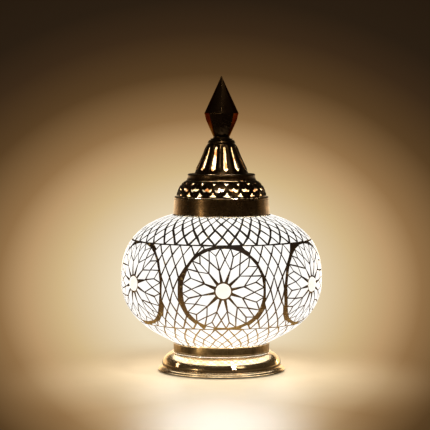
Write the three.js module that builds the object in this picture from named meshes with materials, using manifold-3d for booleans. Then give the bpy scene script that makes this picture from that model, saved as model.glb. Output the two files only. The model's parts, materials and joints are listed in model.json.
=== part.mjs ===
// Mosaic glass table lamp, as an assembly of separate pieces.
// Millimetres, +Z up, front towards -Y. The origin is on the lamp's axis, at the resting plane.
// Azimuths are in degrees, counted from the front (-Y) towards +X.
// The rear, where the cord leaves, is at 180.

import * as THREE from "three";
import { mergeVertices } from "three/addons/utils/BufferGeometryUtils.js";
import Module from "manifold-3d";

const wasm = await Module();
wasm.setup();

// ---- Driving dimensions ----

const TURNED_SEGMENTS = 32;
const GLOBE_SEGMENTS = 24;
const CROWN_SEGMENTS = 24;
const SMALL_SEGMENTS = 12;

const REST_GAP = 0.1; // between flat faces that rest on each other
const CUT_GAP = 0.3; // round a piece that stands in a cut-out of its neighbour

// Foot
const FOOT_RADIUS = 54.1;
const FOOT_BOTTOM_Z = 0.5;
const FOOT_RIM_WIDTH = 2.4;
const FOOT_BULGE_RADIUS = 50.6;
const FOOT_BULGE_Z = 6.3;
const FOOT_TOP_Z = 15.2;
const FOOT_WALL = 1.2;
const FELT_RADIUS = 51.3;
const FELT_HEIGHT = 1.2;
const CLAMP_HOLE_RADIUS = 31.0;
const STAR_COUNT = 6;
const STAR_FIRST_AZIMUTH = 12;
const STAR_Z = 9.0;
const STAR_OUTER_RADIUS = 3.0;
const STAR_INNER_RADIUS = 1.3;
const FOOT_CUT_NEAR = 40;
const FOOT_CUT_FAR = 60;

// Collars
const NECK_RING_RADIUS = 41.8;
const NECK_RING_HEIGHT = 1.05;
const LOWER_COLLAR_RADIUS = 40.8;
const LOWER_COLLAR_TOP_Z = 23.7;
const COLLAR_WALL = 1.0;
const UPPER_COLLAR_BOTTOM_Z = 133.4;
const UPPER_COLLAR_TOP_Z = 148.2;
const UPPER_COLLAR_BOTTOM_RADIUS = 40.9;
const UPPER_COLLAR_TOP_RADIUS = 40.0;

// Globe: two half superellipses on a common equator, the lower one running out straight
const GLOBE_RADIUS = 85.3;
const EQUATOR_Z = 76.5;
const UPPER_HALF_HEIGHT = 60.1;
const UPPER_POWER = 2.6;
const LOWER_HALF_HEIGHT = 57.2;
const LOWER_POWER = 2.05;
const STRAIGHT_BELOW_Z = 31.0;
const GLOBE_BOTTOM_Z = 24.0;
const GLOBE_TOP_Z = 132.95;
const MOSAIC_DEPTH = 1.9;
const GROUT_DEPTH = 1.0;
const GLASS_DEPTH = 3.0;
const LOWER_NECK_RADIUS = 37.4;
const LOWER_NECK_END_Z = 19.0;
const UPPER_NECK_RADIUS = 38.8;
const UPPER_NECK_END_Z = 140.0;

// Mosaic
const LOWER_LINE_Z = 43.2;
const UPPER_LINE_Z = 112.2;
const LINE_HALF_WIDTH = 0.5;
const ROSETTE_COUNT = 6;
const ROSETTE_RADIUS = 33.0;
const BEAD_RADIUS = 6.2;
const BEAD_RISE = 2.0;
const NET_HALF_ANGLE = 25.5;
const GLOBE_CUT_NEAR = 60;
const GLOBE_CUT_FAR = 95;

// Crown
const CROWN_HOLE_RADIUS = 3.4;
const DOME_BOTTOM_Z = UPPER_COLLAR_TOP_Z + REST_GAP;
const DOME_TOP_Z = 162.2;
const DOME_WALL = 0.8;
const DOME_BASE_RADIUS = 38.0;
const DOME_REPEATS = 20;
const BELL_FIRST_AZIMUTH = 7;
const BELL_BOTTOM_Z = 149.7;
const LEAF_FIRST_AZIMUTH = -2;
const LEAF_BOTTOM_Z = 153.2;
const DOME_INNER_RADIUS = 24;
const RING_TOP_Z = 167.5;
const CONE_BOTTOM_Z = RING_TOP_Z + REST_GAP;
const CONE_BOTTOM_RADIUS = 22.8;
const CONE_TOP_Z = 195.4;
const CONE_TOP_RADIUS = 10.7;
const CONE_WALL = 1.2;
const SLOT_COUNT = 12;
const SLOT_FIRST_AZIMUTH = 10;
const SLOT_BOTTOM_Z = 169.4;
const SLOT_TOP_Z = 190.0;
const SLOT_BOTTOM_WIDTH = 4.3;
const SLOT_TOP_WIDTH = 2.1;
const SLOT_CUT_NEAR = 6;
const SLOT_CUT_FAR = 30;
const RING_RADIUS = 29.4;
const RING_WALL = 0.9;
const RING_HOLE_RADIUS = 20.5;
const CROWN_NECK_RADIUS = 9.6;
const FINIAL_BOTTOM_Z = 199.1;
const FINIAL_WIDEST_Z = 218.7;
const FINIAL_TIP_Z = 250.1;
const FINIAL_BOTTOM_RADIUS = 7.2;
const FINIAL_RADIUS = 14.5;
const FINIAL_BEVEL_RADIUS = 13.05;
const FINIAL_BEVEL_DROP = 5.8;
const FINIAL_BORE_RADIUS = 3.7;
const ROD_RADIUS = 3.0;
const ROD_BOTTOM_Z = 141.0;
const ROD_TOP_Z = 208.2;

// Lamp holder and bulb
const NIPPLE_RADIUS = 5.0;
const NIPPLE_BORE_RADIUS = 3.2;
const NIPPLE_BOTTOM_Z = 9.4;
const NIPPLE_TOP_Z = 25.0;
const HOLDER_BOTTOM_Z = 19.2;
const HOLDER_CAP_TOP_Z = 30.0;
const HOLDER_TOP_Z = 53.0;
const HOLDER_RADIUS = 13.6;
const HOLDER_CORE_RADIUS = 10.8;
const HOLDER_CORE_BOTTOM_Z = 31;
const HOLDER_CORE_TOP_Z = 38;
const SCREW_SHELL_RADIUS = 8;
const SCREW_SHELL_WALL = 0.65;
const SCREW_SHELL_TOP_Z = 52;
const BULB_TIP_Z = 39.9;
const BULB_CONTACT_RADIUS = 2.4;
const BULB_CONTACT_TOP_Z = 41.2;
const BULB_INSULATOR_TOP_Z = 45.2;
const BULB_CAP_RADIUS = 6.9;
const BULB_CAP_WALL = 0.5;
const BULB_CAP_TOP_Z = 58;
const BULB_NECK_RADIUS = 6.1;
const BULB_NECK_BOTTOM_Z = 50;
const BULB_GLOBE_RADIUS = 22.5;
const BULB_GLOBE_Z = 86.0;
const LED_COLUMN_TOP_Z = 93;

// Straps across the openings, and the nuts that pull them tight
const STRAP_HALF_WIDTH = 6.5;
const STRAP_THICKNESS = 1.5;
const LOWER_STRAP_HALF_LENGTH = 36;
const LOWER_STRAP_Z = 12.7;
const LAMP_STRAP_HALF_LENGTH = 33.2;
const LAMP_STRAP_Z = 17.6;
const CROWN_STRAP_HALF_LENGTH = 37.3;
const CROWN_STRAP_Z = 145.6;
const NIPPLE_NUT_RADIUS = 8.5;
const NIPPLE_NUT_Z = 9.6;
const NIPPLE_NUT_HEIGHT = 3.0;
const CROWN_NUT_RADIUS = 5.8;
const CROWN_NUT_Z = 142.4;
const CROWN_NUT_HEIGHT = 3.1;

// Cord, switch and plug, lying behind the foot
const CORD_RADIUS = 2.3;
const CORD_LYING_Z = 2.4;
const CORD_HOLE_Z = 8.2;
const CORD_HOLE_RADIUS = 3.5;
const GROMMET_FLANGE_RADIUS = 4.3;
const SWITCH_X = -20;
const SWITCH_FRONT_Y = 78;
const SWITCH_LENGTH = 50;
const SWITCH_WIDTH = 22;
const SWITCH_SPLIT_Z = 7.5;
const SWITCH_TOP_Z = 15.5;
const SWITCH_WALL = 1.6;
const ROCKER_PIVOT_Z = 13.0;
const ROCKER_WIDTH = 9.0;
const ROCKER_REST_TILT = -10;
const ROCKER_PIN_RADIUS = 1.2;
const PLUG_X = 20;
const PLUG_FACE_Y = 92;
const PLUG_LENGTH = 38;
const PLUG_HALF_WIDTH = 17.6;
const PLUG_HEIGHT = 13.7;
const PLUG_PIN_LENGTH = 19;
const PLUG_PIN_RADIUS = 2.0;
const PLUG_PIN_HALF_SPACING = 9.3;

// ---- Turning, extruding, joining and cutting ----

// Revolves [radius, z] points, listed counter-clockwise, about the Z axis.
// A profile that doesn't start and end on the axis is closed on itself.
function turned(points, segments = TURNED_SEGMENTS) {
  const outline = points.map(([r, z]) => new THREE.Vector2(r, z));
  const onAxis = points[0][0] === 0 && points.at(-1)[0] === 0;
  if (!onAxis) {
    outline.push(outline[0].clone());
  }
  return new THREE.LatheGeometry(outline, segments).rotateX(Math.PI / 2);
}

// Extrudes a flat [x, y] outline upwards from z = bottom.
function prism(points, bottom, height) {
  const shape = new THREE.Shape(points.map(([x, y]) => new THREE.Vector2(x, y)));
  const geometry = new THREE.ExtrudeGeometry(shape, { depth: height, bevelEnabled: false });
  return geometry.translate(0, 0, bottom);
}

function box(x, y, z, width, length, height) {
  return new THREE.BoxGeometry(width, length, height).translate(x, y, z + height / 2);
}

// A rod that stands on z = bottom.
function rod(radius, bottom, height, segments = SMALL_SEGMENTS) {
  const geometry = new THREE.CylinderGeometry(radius, radius, height, segments);
  return geometry.rotateX(Math.PI / 2).translate(0, 0, bottom + height / 2);
}

// Turns a piece drawn looking outwards (local x sideways, y up, z outwards) to face an azimuth.
function facing(geometry, azimuth, z) {
  geometry.rotateX(Math.PI / 2);
  geometry.rotateZ(THREE.MathUtils.degToRad(azimuth));
  return geometry.translate(0, 0, z);
}

// A prism that cuts through a wall at an azimuth, between two distances from the axis.
function wallCutter(points, azimuth, z, near, far) {
  return facing(prism(points, near, far - near), azimuth, z);
}

function toSolid(geometry) {
  geometry.deleteAttribute("normal");
  geometry.deleteAttribute("uv");
  const merged = mergeVertices(geometry, 1e-3);
  const corners = merged.index.array;
  const kept = [];
  for (let i = 0; i < corners.length; i += 3) {
    const [a, b, c] = [corners[i], corners[i + 1], corners[i + 2]];
    if (a !== b && b !== c && c !== a) {
      kept.push(a, b, c);
    }
  }
  const mesh = new wasm.Mesh({
    numProp: 3,
    vertProperties: new Float32Array(merged.attributes.position.array),
    triVerts: new Uint32Array(kept),
  });
  return new wasm.Manifold(mesh);
}

function toGeometry(solid) {
  const mesh = solid.getMesh();
  const geometry = new THREE.BufferGeometry();
  geometry.setAttribute("position", new THREE.BufferAttribute(mesh.vertProperties, 3));
  geometry.setIndex(new THREE.BufferAttribute(mesh.triVerts, 1));
  geometry.computeVertexNormals();
  return geometry;
}

function cut(geometry, cutters) {
  const solid = cutters.reduce((body, cutter) => body.subtract(toSolid(cutter)), toSolid(geometry));
  return toGeometry(solid);
}

function join(geometry, others) {
  const solid = others.reduce((body, other) => body.add(toSolid(other)), toSolid(geometry));
  return toGeometry(solid);
}

function common(geometry, other) {
  return toGeometry(toSolid(geometry).intersect(toSolid(other)));
}

function azimuths(count, first = 0) {
  return Array.from({ length: count }, (_, i) => first + (360 / count) * i);
}

// ---- Outlines ----

function starOutline() {
  const points = [];
  for (let i = 0; i < 10; i += 1) {
    const radius = i % 2 === 0 ? STAR_OUTER_RADIUS : STAR_INNER_RADIUS;
    const angle = Math.PI / 2 + (i * Math.PI) / 5;
    points.push([radius * Math.cos(angle), radius * Math.sin(angle)]);
  }
  return points;
}

function roundOutline(radius, sides, centreX = 0, centreY = 0) {
  return azimuths(sides).map((angle) => {
    const turn = THREE.MathUtils.degToRad(angle);
    return [centreX + radius * Math.cos(turn), centreY + radius * Math.sin(turn)];
  });
}

// A rectangle with quarter-round corners.
function roundedOutline(halfWidth, halfLength, cornerRadius, centreX = 0, centreY = 0) {
  const stepsPerCorner = 3;
  const points = [];
  for (const [sideX, sideY, start] of [[1, 1, 0], [-1, 1, 90], [-1, -1, 180], [1, -1, 270]]) {
    for (let i = 0; i <= stepsPerCorner; i += 1) {
      const turn = THREE.MathUtils.degToRad(start + (90 * i) / stepsPerCorner);
      points.push([
        centreX + sideX * (halfWidth - cornerRadius) + cornerRadius * Math.cos(turn),
        centreY + sideY * (halfLength - cornerRadius) + cornerRadius * Math.sin(turn),
      ]);
    }
  }
  return points;
}

// ---- The globe's curve ----

// The outer surface of the mosaic at a height, with its slope dR/dz.
function globeCurve(z) {
  const upper = z >= EQUATOR_Z;
  const halfHeight = upper ? UPPER_HALF_HEIGHT : LOWER_HALF_HEIGHT;
  const power = upper ? UPPER_POWER : LOWER_POWER;
  const level = upper ? z : Math.max(z, STRAIGHT_BELOW_Z);
  const rise = Math.abs(level - EQUATOR_Z) / halfHeight;
  const radius = GLOBE_RADIUS * (1 - rise ** power) ** (1 / power);
  const steepness = (rise / (radius / GLOBE_RADIUS)) ** (power - 1);
  const slope = ((upper ? -1 : 1) * steepness * GLOBE_RADIUS) / halfHeight;
  return { radius: radius + slope * (z - level), slope };
}

// The point a given depth under the mosaic's surface, measured square to it.
function underGlobe(z, depth) {
  const { radius, slope } = globeCurve(z);
  const length = Math.hypot(1, slope);
  return [radius - depth / length, z + (depth * slope) / length];
}

// Heights between two levels, closer together where the globe curves in.
function globeLevels(from, to, count) {
  const reach = GLOBE_RADIUS;
  const start = Math.asin((from - EQUATOR_Z) / reach);
  const end = Math.asin((to - EQUATOR_Z) / reach);
  return Array.from({ length: count + 1 }, (_, i) => {
    return EQUATOR_Z + reach * Math.sin(start + ((end - start) * i) / count);
  });
}

// The three bands of the globe, between its openings and the two grout lines.
// Every layer of the globe is drawn through the same heights, so the layers stay parallel.
const LOWER_BAND = globeLevels(GLOBE_BOTTOM_Z, LOWER_LINE_Z - LINE_HALF_WIDTH, 2);
const WAIST = globeLevels(LOWER_LINE_Z + LINE_HALF_WIDTH, UPPER_LINE_Z - LINE_HALF_WIDTH, 4);
const UPPER_BAND = globeLevels(UPPER_LINE_Z + LINE_HALF_WIDTH, GLOBE_TOP_Z, 2);
const WHOLE_GLOBE = [...LOWER_BAND, ...WAIST, ...UPPER_BAND];

// A curved shell between two depths under the mosaic's surface.
function globeShell(levels, outerDepth, innerDepth) {
  const outer = levels.map((z) => underGlobe(z, outerDepth));
  const inner = levels.map((z) => underGlobe(z, innerDepth)).reverse();
  return turned([...outer, ...inner], GLOBE_SEGMENTS);
}

// ---- Foot ----

function feltPad() {
  return turned([[0, 0], [FELT_RADIUS, 0], [FELT_RADIUS, FELT_HEIGHT], [0, FELT_HEIGHT]]);
}

function basePlate() {
  const bottom = FELT_HEIGHT + REST_GAP;
  const top = bottom + FOOT_WALL;
  return turned([[0, bottom], [FELT_RADIUS, bottom], [FELT_RADIUS, top], [0, top]]);
}

// A stepped rim, a hollow above it, and a bulge that runs over into the flat top.
function footShell() {
  const rimInside = FOOT_RADIUS - FOOT_RIM_WIDTH;
  const rimTop = FOOT_BOTTOM_Z + 2.3;
  return turned([
    [rimInside, FOOT_BOTTOM_Z],
    [FOOT_RADIUS, FOOT_BOTTOM_Z],
    [FOOT_RADIUS, FOOT_BOTTOM_Z + 1.0],
    [FOOT_RADIUS - 1.8, FOOT_BOTTOM_Z + 2.7],
    [FOOT_BULGE_RADIUS - 0.7, FOOT_BOTTOM_Z + 3.7],
    [FOOT_BULGE_RADIUS, FOOT_BULGE_Z],
    [FOOT_BULGE_RADIUS - 1.0, FOOT_TOP_Z - 5.3],
    [FOOT_BULGE_RADIUS - 3.9, FOOT_TOP_Z - 2.2],
    [FOOT_BULGE_RADIUS - 8.4, FOOT_TOP_Z],
    [CLAMP_HOLE_RADIUS, FOOT_TOP_Z],
    [CLAMP_HOLE_RADIUS, FOOT_TOP_Z - FOOT_WALL],
    [FOOT_BULGE_RADIUS - 8.6, FOOT_TOP_Z - FOOT_WALL],
    [FOOT_BULGE_RADIUS - 4.7, FOOT_TOP_Z - 3.1],
    [FOOT_BULGE_RADIUS - 2.2, FOOT_TOP_Z - 5.8],
    [FOOT_BULGE_RADIUS - FOOT_WALL, FOOT_BULGE_Z],
    [FOOT_BULGE_RADIUS - 1.8, rimTop],
    [rimInside, rimTop],
  ]);
}

function baseFoot() {
  const stars = azimuths(STAR_COUNT, STAR_FIRST_AZIMUTH).map((azimuth) => {
    return wallCutter(starOutline(), azimuth, STAR_Z, FOOT_CUT_NEAR, FOOT_CUT_FAR);
  });
  const hole = roundOutline(CORD_HOLE_RADIUS, 16);
  const cordHole = wallCutter(hole, 180, CORD_HOLE_Z, FOOT_CUT_NEAR, FOOT_CUT_FAR);
  return cut(footShell(), [...stars, cordHole]);
}

function neckRing() {
  const bottom = FOOT_TOP_Z + REST_GAP;
  const top = bottom + NECK_RING_HEIGHT;
  const bead = 0.5;
  return turned([
    [CLAMP_HOLE_RADIUS, bottom],
    [NECK_RING_RADIUS - bead, bottom],
    [NECK_RING_RADIUS, bottom + bead],
    [NECK_RING_RADIUS - bead, top],
    [CLAMP_HOLE_RADIUS, top],
  ]);
}

function lowerCollar() {
  const bottom = FOOT_TOP_Z + NECK_RING_HEIGHT + 2 * REST_GAP;
  const inside = LOWER_COLLAR_RADIUS - COLLAR_WALL;
  return turned([
    [CLAMP_HOLE_RADIUS, bottom],
    [LOWER_COLLAR_RADIUS - 0.3, bottom],
    [LOWER_COLLAR_RADIUS, bottom + 0.3],
    [LOWER_COLLAR_RADIUS, LOWER_COLLAR_TOP_Z],
    [inside, LOWER_COLLAR_TOP_Z],
    [inside, bottom + COLLAR_WALL],
    [CLAMP_HOLE_RADIUS, bottom + COLLAR_WALL],
  ]);
}

function strap(halfLength, bottom, height, holeRadius) {
  const bar = prism(roundedOutline(halfLength, STRAP_HALF_WIDTH, 1.5), bottom, height);
  return cut(bar, [rod(holeRadius, bottom - 1, height + 2)]);
}

function hexNut(radius, bottom, height, holeRadius) {
  const body = prism(roundOutline(radius, 6), bottom, height);
  return cut(body, [rod(holeRadius, bottom - 1, height + 2)]);
}

function lowerBridge() {
  return strap(LOWER_STRAP_HALF_LENGTH, LOWER_STRAP_Z, FOOT_WALL, NIPPLE_RADIUS + CUT_GAP);
}

function lampBridge() {
  return strap(LAMP_STRAP_HALF_LENGTH, LAMP_STRAP_Z, STRAP_THICKNESS, NIPPLE_RADIUS + CUT_GAP);
}

function nippleNut() {
  return hexNut(NIPPLE_NUT_RADIUS, NIPPLE_NUT_Z, NIPPLE_NUT_HEIGHT, NIPPLE_RADIUS + CUT_GAP);
}

function hollowNipple() {
  return turned([
    [NIPPLE_BORE_RADIUS, NIPPLE_BOTTOM_Z],
    [NIPPLE_RADIUS, NIPPLE_BOTTOM_Z],
    [NIPPLE_RADIUS, NIPPLE_TOP_Z],
    [NIPPLE_BORE_RADIUS, NIPPLE_TOP_Z],
  ], SMALL_SEGMENTS);
}

// ---- Lamp holder ----

function holderCap() {
  const hole = NIPPLE_RADIUS + CUT_GAP;
  return turned([
    [hole, HOLDER_BOTTOM_Z],
    [9.0, HOLDER_BOTTOM_Z],
    [12.8, 22.6],
    [HOLDER_RADIUS, 27.5],
    [HOLDER_RADIUS, HOLDER_CAP_TOP_Z],
    [12.4, HOLDER_CAP_TOP_Z],
    [12.4, 27.8],
    [11.6, 23.6],
    [8.4, 20.7],
    [hole, 20.7],
  ], SMALL_SEGMENTS);
}

function holderBody() {
  const bottom = HOLDER_CAP_TOP_Z + REST_GAP;
  const inside = 11.4;
  return turned([
    [inside, bottom],
    [HOLDER_RADIUS, bottom],
    [HOLDER_RADIUS, 45],
    [14.8, 45.4],
    [14.8, 47.6],
    [13.2, 48],
    [13.2, HOLDER_TOP_Z],
    [inside, HOLDER_TOP_Z],
  ], SMALL_SEGMENTS);
}

function holderCore() {
  return turned([
    [0, HOLDER_CORE_BOTTOM_Z],
    [HOLDER_CORE_RADIUS, HOLDER_CORE_BOTTOM_Z],
    [HOLDER_CORE_RADIUS, HOLDER_CORE_TOP_Z],
    [0, HOLDER_CORE_TOP_Z],
  ], SMALL_SEGMENTS);
}

function holderScrewShell() {
  const bottom = HOLDER_CORE_TOP_Z + REST_GAP;
  const inside = SCREW_SHELL_RADIUS - SCREW_SHELL_WALL;
  return turned([
    [inside, bottom],
    [SCREW_SHELL_RADIUS, bottom],
    [SCREW_SHELL_RADIUS, SCREW_SHELL_TOP_Z],
    [inside, SCREW_SHELL_TOP_Z],
  ], SMALL_SEGMENTS);
}

// A bent spring tab: one foot on the core, the other end raised under the bulb.
function holderContact() {
  const outline = [
    [-5, 0],
    [-2.5, 0],
    [-1, 1.1],
    [2.2, 1.1],
    [2.2, 1.6],
    [-1.2, 1.6],
    [-2.7, 0.5],
    [-5, 0.5],
  ];
  const tabWidth = 3;
  const tab = prism(outline, -tabWidth / 2, tabWidth);
  return tab.rotateX(Math.PI / 2).translate(0, 0, HOLDER_CORE_TOP_Z + REST_GAP);
}

// ---- Bulb ----

function bulbContact() {
  return turned([
    [0, BULB_TIP_Z],
    [BULB_CONTACT_RADIUS - 0.8, BULB_TIP_Z + 0.1],
    [BULB_CONTACT_RADIUS, BULB_TIP_Z + 0.7],
    [BULB_CONTACT_RADIUS, BULB_CONTACT_TOP_Z],
    [0, BULB_CONTACT_TOP_Z],
  ], SMALL_SEGMENTS);
}

function bulbInsulator() {
  const bottom = BULB_CONTACT_TOP_Z + REST_GAP;
  return turned([
    [0, bottom],
    [BULB_CONTACT_RADIUS + 0.2, bottom],
    [BULB_NECK_RADIUS, BULB_INSULATOR_TOP_Z - 1.2],
    [BULB_NECK_RADIUS, BULB_INSULATOR_TOP_Z],
    [0, BULB_INSULATOR_TOP_Z],
  ], SMALL_SEGMENTS);
}

function bulbCap() {
  const bottom = BULB_INSULATOR_TOP_Z - 1.3;
  const inside = BULB_CAP_RADIUS - BULB_CAP_WALL;
  return turned([
    [inside, bottom],
    [BULB_CAP_RADIUS, bottom + BULB_CAP_WALL],
    [BULB_CAP_RADIUS, BULB_CAP_TOP_Z],
    [inside, BULB_CAP_TOP_Z],
  ], SMALL_SEGMENTS);
}

// An arc of [radius, z] points on the bulb's round part.
function bulbArc(radius, fromAngle, toAngle, count) {
  return Array.from({ length: count + 1 }, (_, i) => {
    const angle = THREE.MathUtils.degToRad(fromAngle + ((toAngle - fromAngle) * i) / count);
    return [radius * Math.cos(angle), BULB_GLOBE_Z + radius * Math.sin(angle)];
  });
}

// Open at the bottom of its neck, so it isn't a sealed hollow.
function bulbEnvelope() {
  const wall = 1.0;
  const outer = bulbArc(BULB_GLOBE_RADIUS, -50, 90, 6);
  const inner = bulbArc(BULB_GLOBE_RADIUS - wall, -50, 90, 6).reverse();
  outer.at(-1)[0] = 0;
  inner[0][0] = 0;
  const neck = BULB_NECK_RADIUS;
  return turned([
    ...inner,
    [neck - wall, BULB_CAP_TOP_Z],
    [neck - wall, BULB_NECK_BOTTOM_Z],
    [neck, BULB_NECK_BOTTOM_Z],
    [neck, BULB_CAP_TOP_Z],
    ...outer,
  ], SMALL_SEGMENTS);
}

// A slim column on a round foot, with a wider head.
function ledColumn() {
  return turned([
    [0, BULB_NECK_BOTTOM_Z],
    [4.6, BULB_NECK_BOTTOM_Z],
    [4.6, BULB_NECK_BOTTOM_Z + 2],
    [2.4, BULB_NECK_BOTTOM_Z + 4],
    [1.8, LED_COLUMN_TOP_Z - 5],
    [3.2, LED_COLUMN_TOP_Z - 3],
    [3.2, LED_COLUMN_TOP_Z - 1],
    [0, LED_COLUMN_TOP_Z],
  ], SMALL_SEGMENTS);
}

// ---- Globe and mosaic ----

function glassGasket() {
  const bottom = FOOT_TOP_Z + NECK_RING_HEIGHT + COLLAR_WALL + 3 * REST_GAP;
  const top = LOWER_NECK_END_Z - REST_GAP;
  const inside = LOWER_NECK_RADIUS - GLASS_DEPTH;
  return turned([
    [inside, bottom],
    [LOWER_NECK_RADIUS, bottom],
    [LOWER_NECK_RADIUS, top],
    [inside, top],
  ]);
}

function globeGlass() {
  const outerDepth = MOSAIC_DEPTH + GROUT_DEPTH + 2 * CUT_GAP;
  const outer = WHOLE_GLOBE.map((z) => underGlobe(z, outerDepth));
  const inner = WHOLE_GLOBE.map((z) => underGlobe(z, outerDepth + GLASS_DEPTH)).reverse();
  return turned([
    [LOWER_NECK_RADIUS - GLASS_DEPTH, LOWER_NECK_END_Z],
    [LOWER_NECK_RADIUS, LOWER_NECK_END_Z],
    [LOWER_NECK_RADIUS, GLOBE_BOTTOM_Z + 2.5],
    ...outer,
    [UPPER_NECK_RADIUS, GLOBE_TOP_Z - 2.75],
    [UPPER_NECK_RADIUS, UPPER_NECK_END_Z],
    [UPPER_NECK_RADIUS - GLASS_DEPTH, UPPER_NECK_END_Z],
    [UPPER_NECK_RADIUS - GLASS_DEPTH, GLOBE_TOP_Z - 5.75],
    ...inner,
  ], GLOBE_SEGMENTS);
}

function groutLayer() {
  const outerDepth = MOSAIC_DEPTH + CUT_GAP;
  return globeShell(WHOLE_GLOBE, outerDepth, outerDepth + GROUT_DEPTH);
}

function mosaicBandBottom() {
  return globeShell(LOWER_BAND, 0, MOSAIC_DEPTH);
}

function mosaicBandTop() {
  return globeShell(UPPER_BAND, 0, MOSAIC_DEPTH);
}

function mosaicWaist() {
  return globeShell(WAIST, 0, MOSAIC_DEPTH);
}

// A bar that points outwards through the globe's wall on the equator.
function equatorBar(radius, azimuth, sides) {
  return wallCutter(roundOutline(radius, sides), azimuth, EQUATOR_Z, GLOBE_CUT_NEAR, GLOBE_CUT_FAR);
}

function rosette(azimuth) {
  const disc = common(mosaicWaist(), equatorBar(ROSETTE_RADIUS, azimuth, 18));
  return cut(disc, [equatorBar(BEAD_RADIUS + 2 * CUT_GAP, azimuth, 10)]);
}

function net(azimuth) {
  const reach = 120;
  const spread = THREE.MathUtils.degToRad(NET_HALF_ANGLE);
  const sides = [-spread, spread].map((turn) => [reach * Math.sin(turn), -reach * Math.cos(turn)]);
  const wedge = prism([[0, 0], ...sides], 30, 100).rotateZ(THREE.MathUtils.degToRad(azimuth));
  const halfPitch = 180 / ROSETTE_COUNT;
  return cut(common(mosaicWaist(), wedge), [
    equatorBar(ROSETTE_RADIUS + 2 * CUT_GAP, azimuth - halfPitch, 18),
    equatorBar(ROSETTE_RADIUS + 2 * CUT_GAP, azimuth + halfPitch, 18),
  ]);
}

function rosetteBead(azimuth) {
  const back = GLOBE_RADIUS - MOSAIC_DEPTH;
  const bead = turned([
    [0, back],
    [BEAD_RADIUS, back],
    [BEAD_RADIUS, GLOBE_RADIUS - 0.2],
    [0.75 * BEAD_RADIUS, GLOBE_RADIUS + 0.66 * BEAD_RISE],
    [0, GLOBE_RADIUS + BEAD_RISE],
  ], 10);
  return facing(bead, azimuth, EQUATOR_Z);
}

// ---- Crown ----

function upperCollar() {
  const flangeBottom = UPPER_COLLAR_TOP_Z - COLLAR_WALL;
  const flangeInside = UPPER_COLLAR_TOP_RADIUS - 7;
  return turned([
    [UPPER_COLLAR_BOTTOM_RADIUS - COLLAR_WALL, UPPER_COLLAR_BOTTOM_Z],
    [UPPER_COLLAR_BOTTOM_RADIUS, UPPER_COLLAR_BOTTOM_Z],
    [UPPER_COLLAR_TOP_RADIUS, UPPER_COLLAR_TOP_Z - 0.8],
    [UPPER_COLLAR_TOP_RADIUS - 0.8, UPPER_COLLAR_TOP_Z],
    [flangeInside, UPPER_COLLAR_TOP_Z],
    [flangeInside, flangeBottom],
    [UPPER_COLLAR_TOP_RADIUS - COLLAR_WALL, flangeBottom],
  ]);
}

function domeShell() {
  return turned([
    [DOME_BASE_RADIUS - DOME_WALL, DOME_BOTTOM_Z],
    [DOME_BASE_RADIUS, DOME_BOTTOM_Z],
    [DOME_BASE_RADIUS - 0.9, DOME_BOTTOM_Z + 4.2],
    [DOME_BASE_RADIUS - 2.8, DOME_BOTTOM_Z + 8.2],
    [DOME_BASE_RADIUS - 5.2, DOME_BOTTOM_Z + 11.1],
    [DOME_BASE_RADIUS - 8.3, DOME_TOP_Z - 0.2],
    [DOME_INNER_RADIUS, DOME_TOP_Z],
    [DOME_INNER_RADIUS, DOME_TOP_Z - DOME_WALL],
    [DOME_BASE_RADIUS - 8.7, DOME_TOP_Z - 1.0],
    [DOME_BASE_RADIUS - 5.8, DOME_BOTTOM_Z + 10.5],
    [DOME_BASE_RADIUS - 3.5, DOME_BOTTOM_Z + 7.8],
    [DOME_BASE_RADIUS - 1.7, DOME_BOTTOM_Z + 4.0],
  ], CROWN_SEGMENTS);
}

// A bell-shaped opening, its foot on y = 0.
function bellOutline() {
  return [[-2.6, 0], [2.6, 0], [0, 3.2]];
}

// One leaf of a pair; side is -1 or 1.
function leafOutline(side) {
  const points = [[0.7, 0], [3.9, 3.4], [1.7, 3.0]];
  const sided = points.map(([x, y]) => [side * x, y]);
  return side > 0 ? sided : sided.reverse();
}

function piercedDome() {
  const near = DOME_INNER_RADIUS + 4;
  const far = DOME_BASE_RADIUS + 7;
  const bells = azimuths(DOME_REPEATS, BELL_FIRST_AZIMUTH).map((azimuth) => {
    return wallCutter(bellOutline(), azimuth, BELL_BOTTOM_Z, near, far);
  });
  const leaves = azimuths(DOME_REPEATS, LEAF_FIRST_AZIMUTH).flatMap((azimuth) => [
    wallCutter(leafOutline(1), azimuth, LEAF_BOTTOM_Z, near, far),
    wallCutter(leafOutline(-1), azimuth, LEAF_BOTTOM_Z, near, far),
  ]);
  return cut(domeShell(), [...bells, ...leaves]);
}

function crownRing() {
  const bottom = DOME_TOP_Z + REST_GAP;
  return turned([
    [RING_RADIUS - 1.2, bottom],
    [RING_RADIUS, bottom],
    [RING_RADIUS - 0.5, bottom + 1.2],
    [RING_RADIUS - 0.8, RING_TOP_Z - 1.0],
    [RING_RADIUS - 1.8, RING_TOP_Z],
    [RING_HOLE_RADIUS, RING_TOP_Z],
    [RING_HOLE_RADIUS, RING_TOP_Z - RING_WALL],
    [RING_RADIUS - 2.0, RING_TOP_Z - 1.1],
    [RING_RADIUS - 1.7, bottom + 1.2],
  ], CROWN_SEGMENTS);
}

function coneShell() {
  return turned([
    [CONE_BOTTOM_RADIUS - CONE_WALL, CONE_BOTTOM_Z],
    [CONE_BOTTOM_RADIUS, CONE_BOTTOM_Z],
    [CONE_TOP_RADIUS, CONE_TOP_Z],
    [CONE_TOP_RADIUS - 0.7, CONE_TOP_Z + 0.7],
    [CROWN_HOLE_RADIUS, CONE_TOP_Z + 0.7],
    [CROWN_HOLE_RADIUS, CONE_TOP_Z - 0.5],
    [CONE_TOP_RADIUS - CONE_WALL, CONE_TOP_Z - 0.5],
  ], CROWN_SEGMENTS);
}

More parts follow.
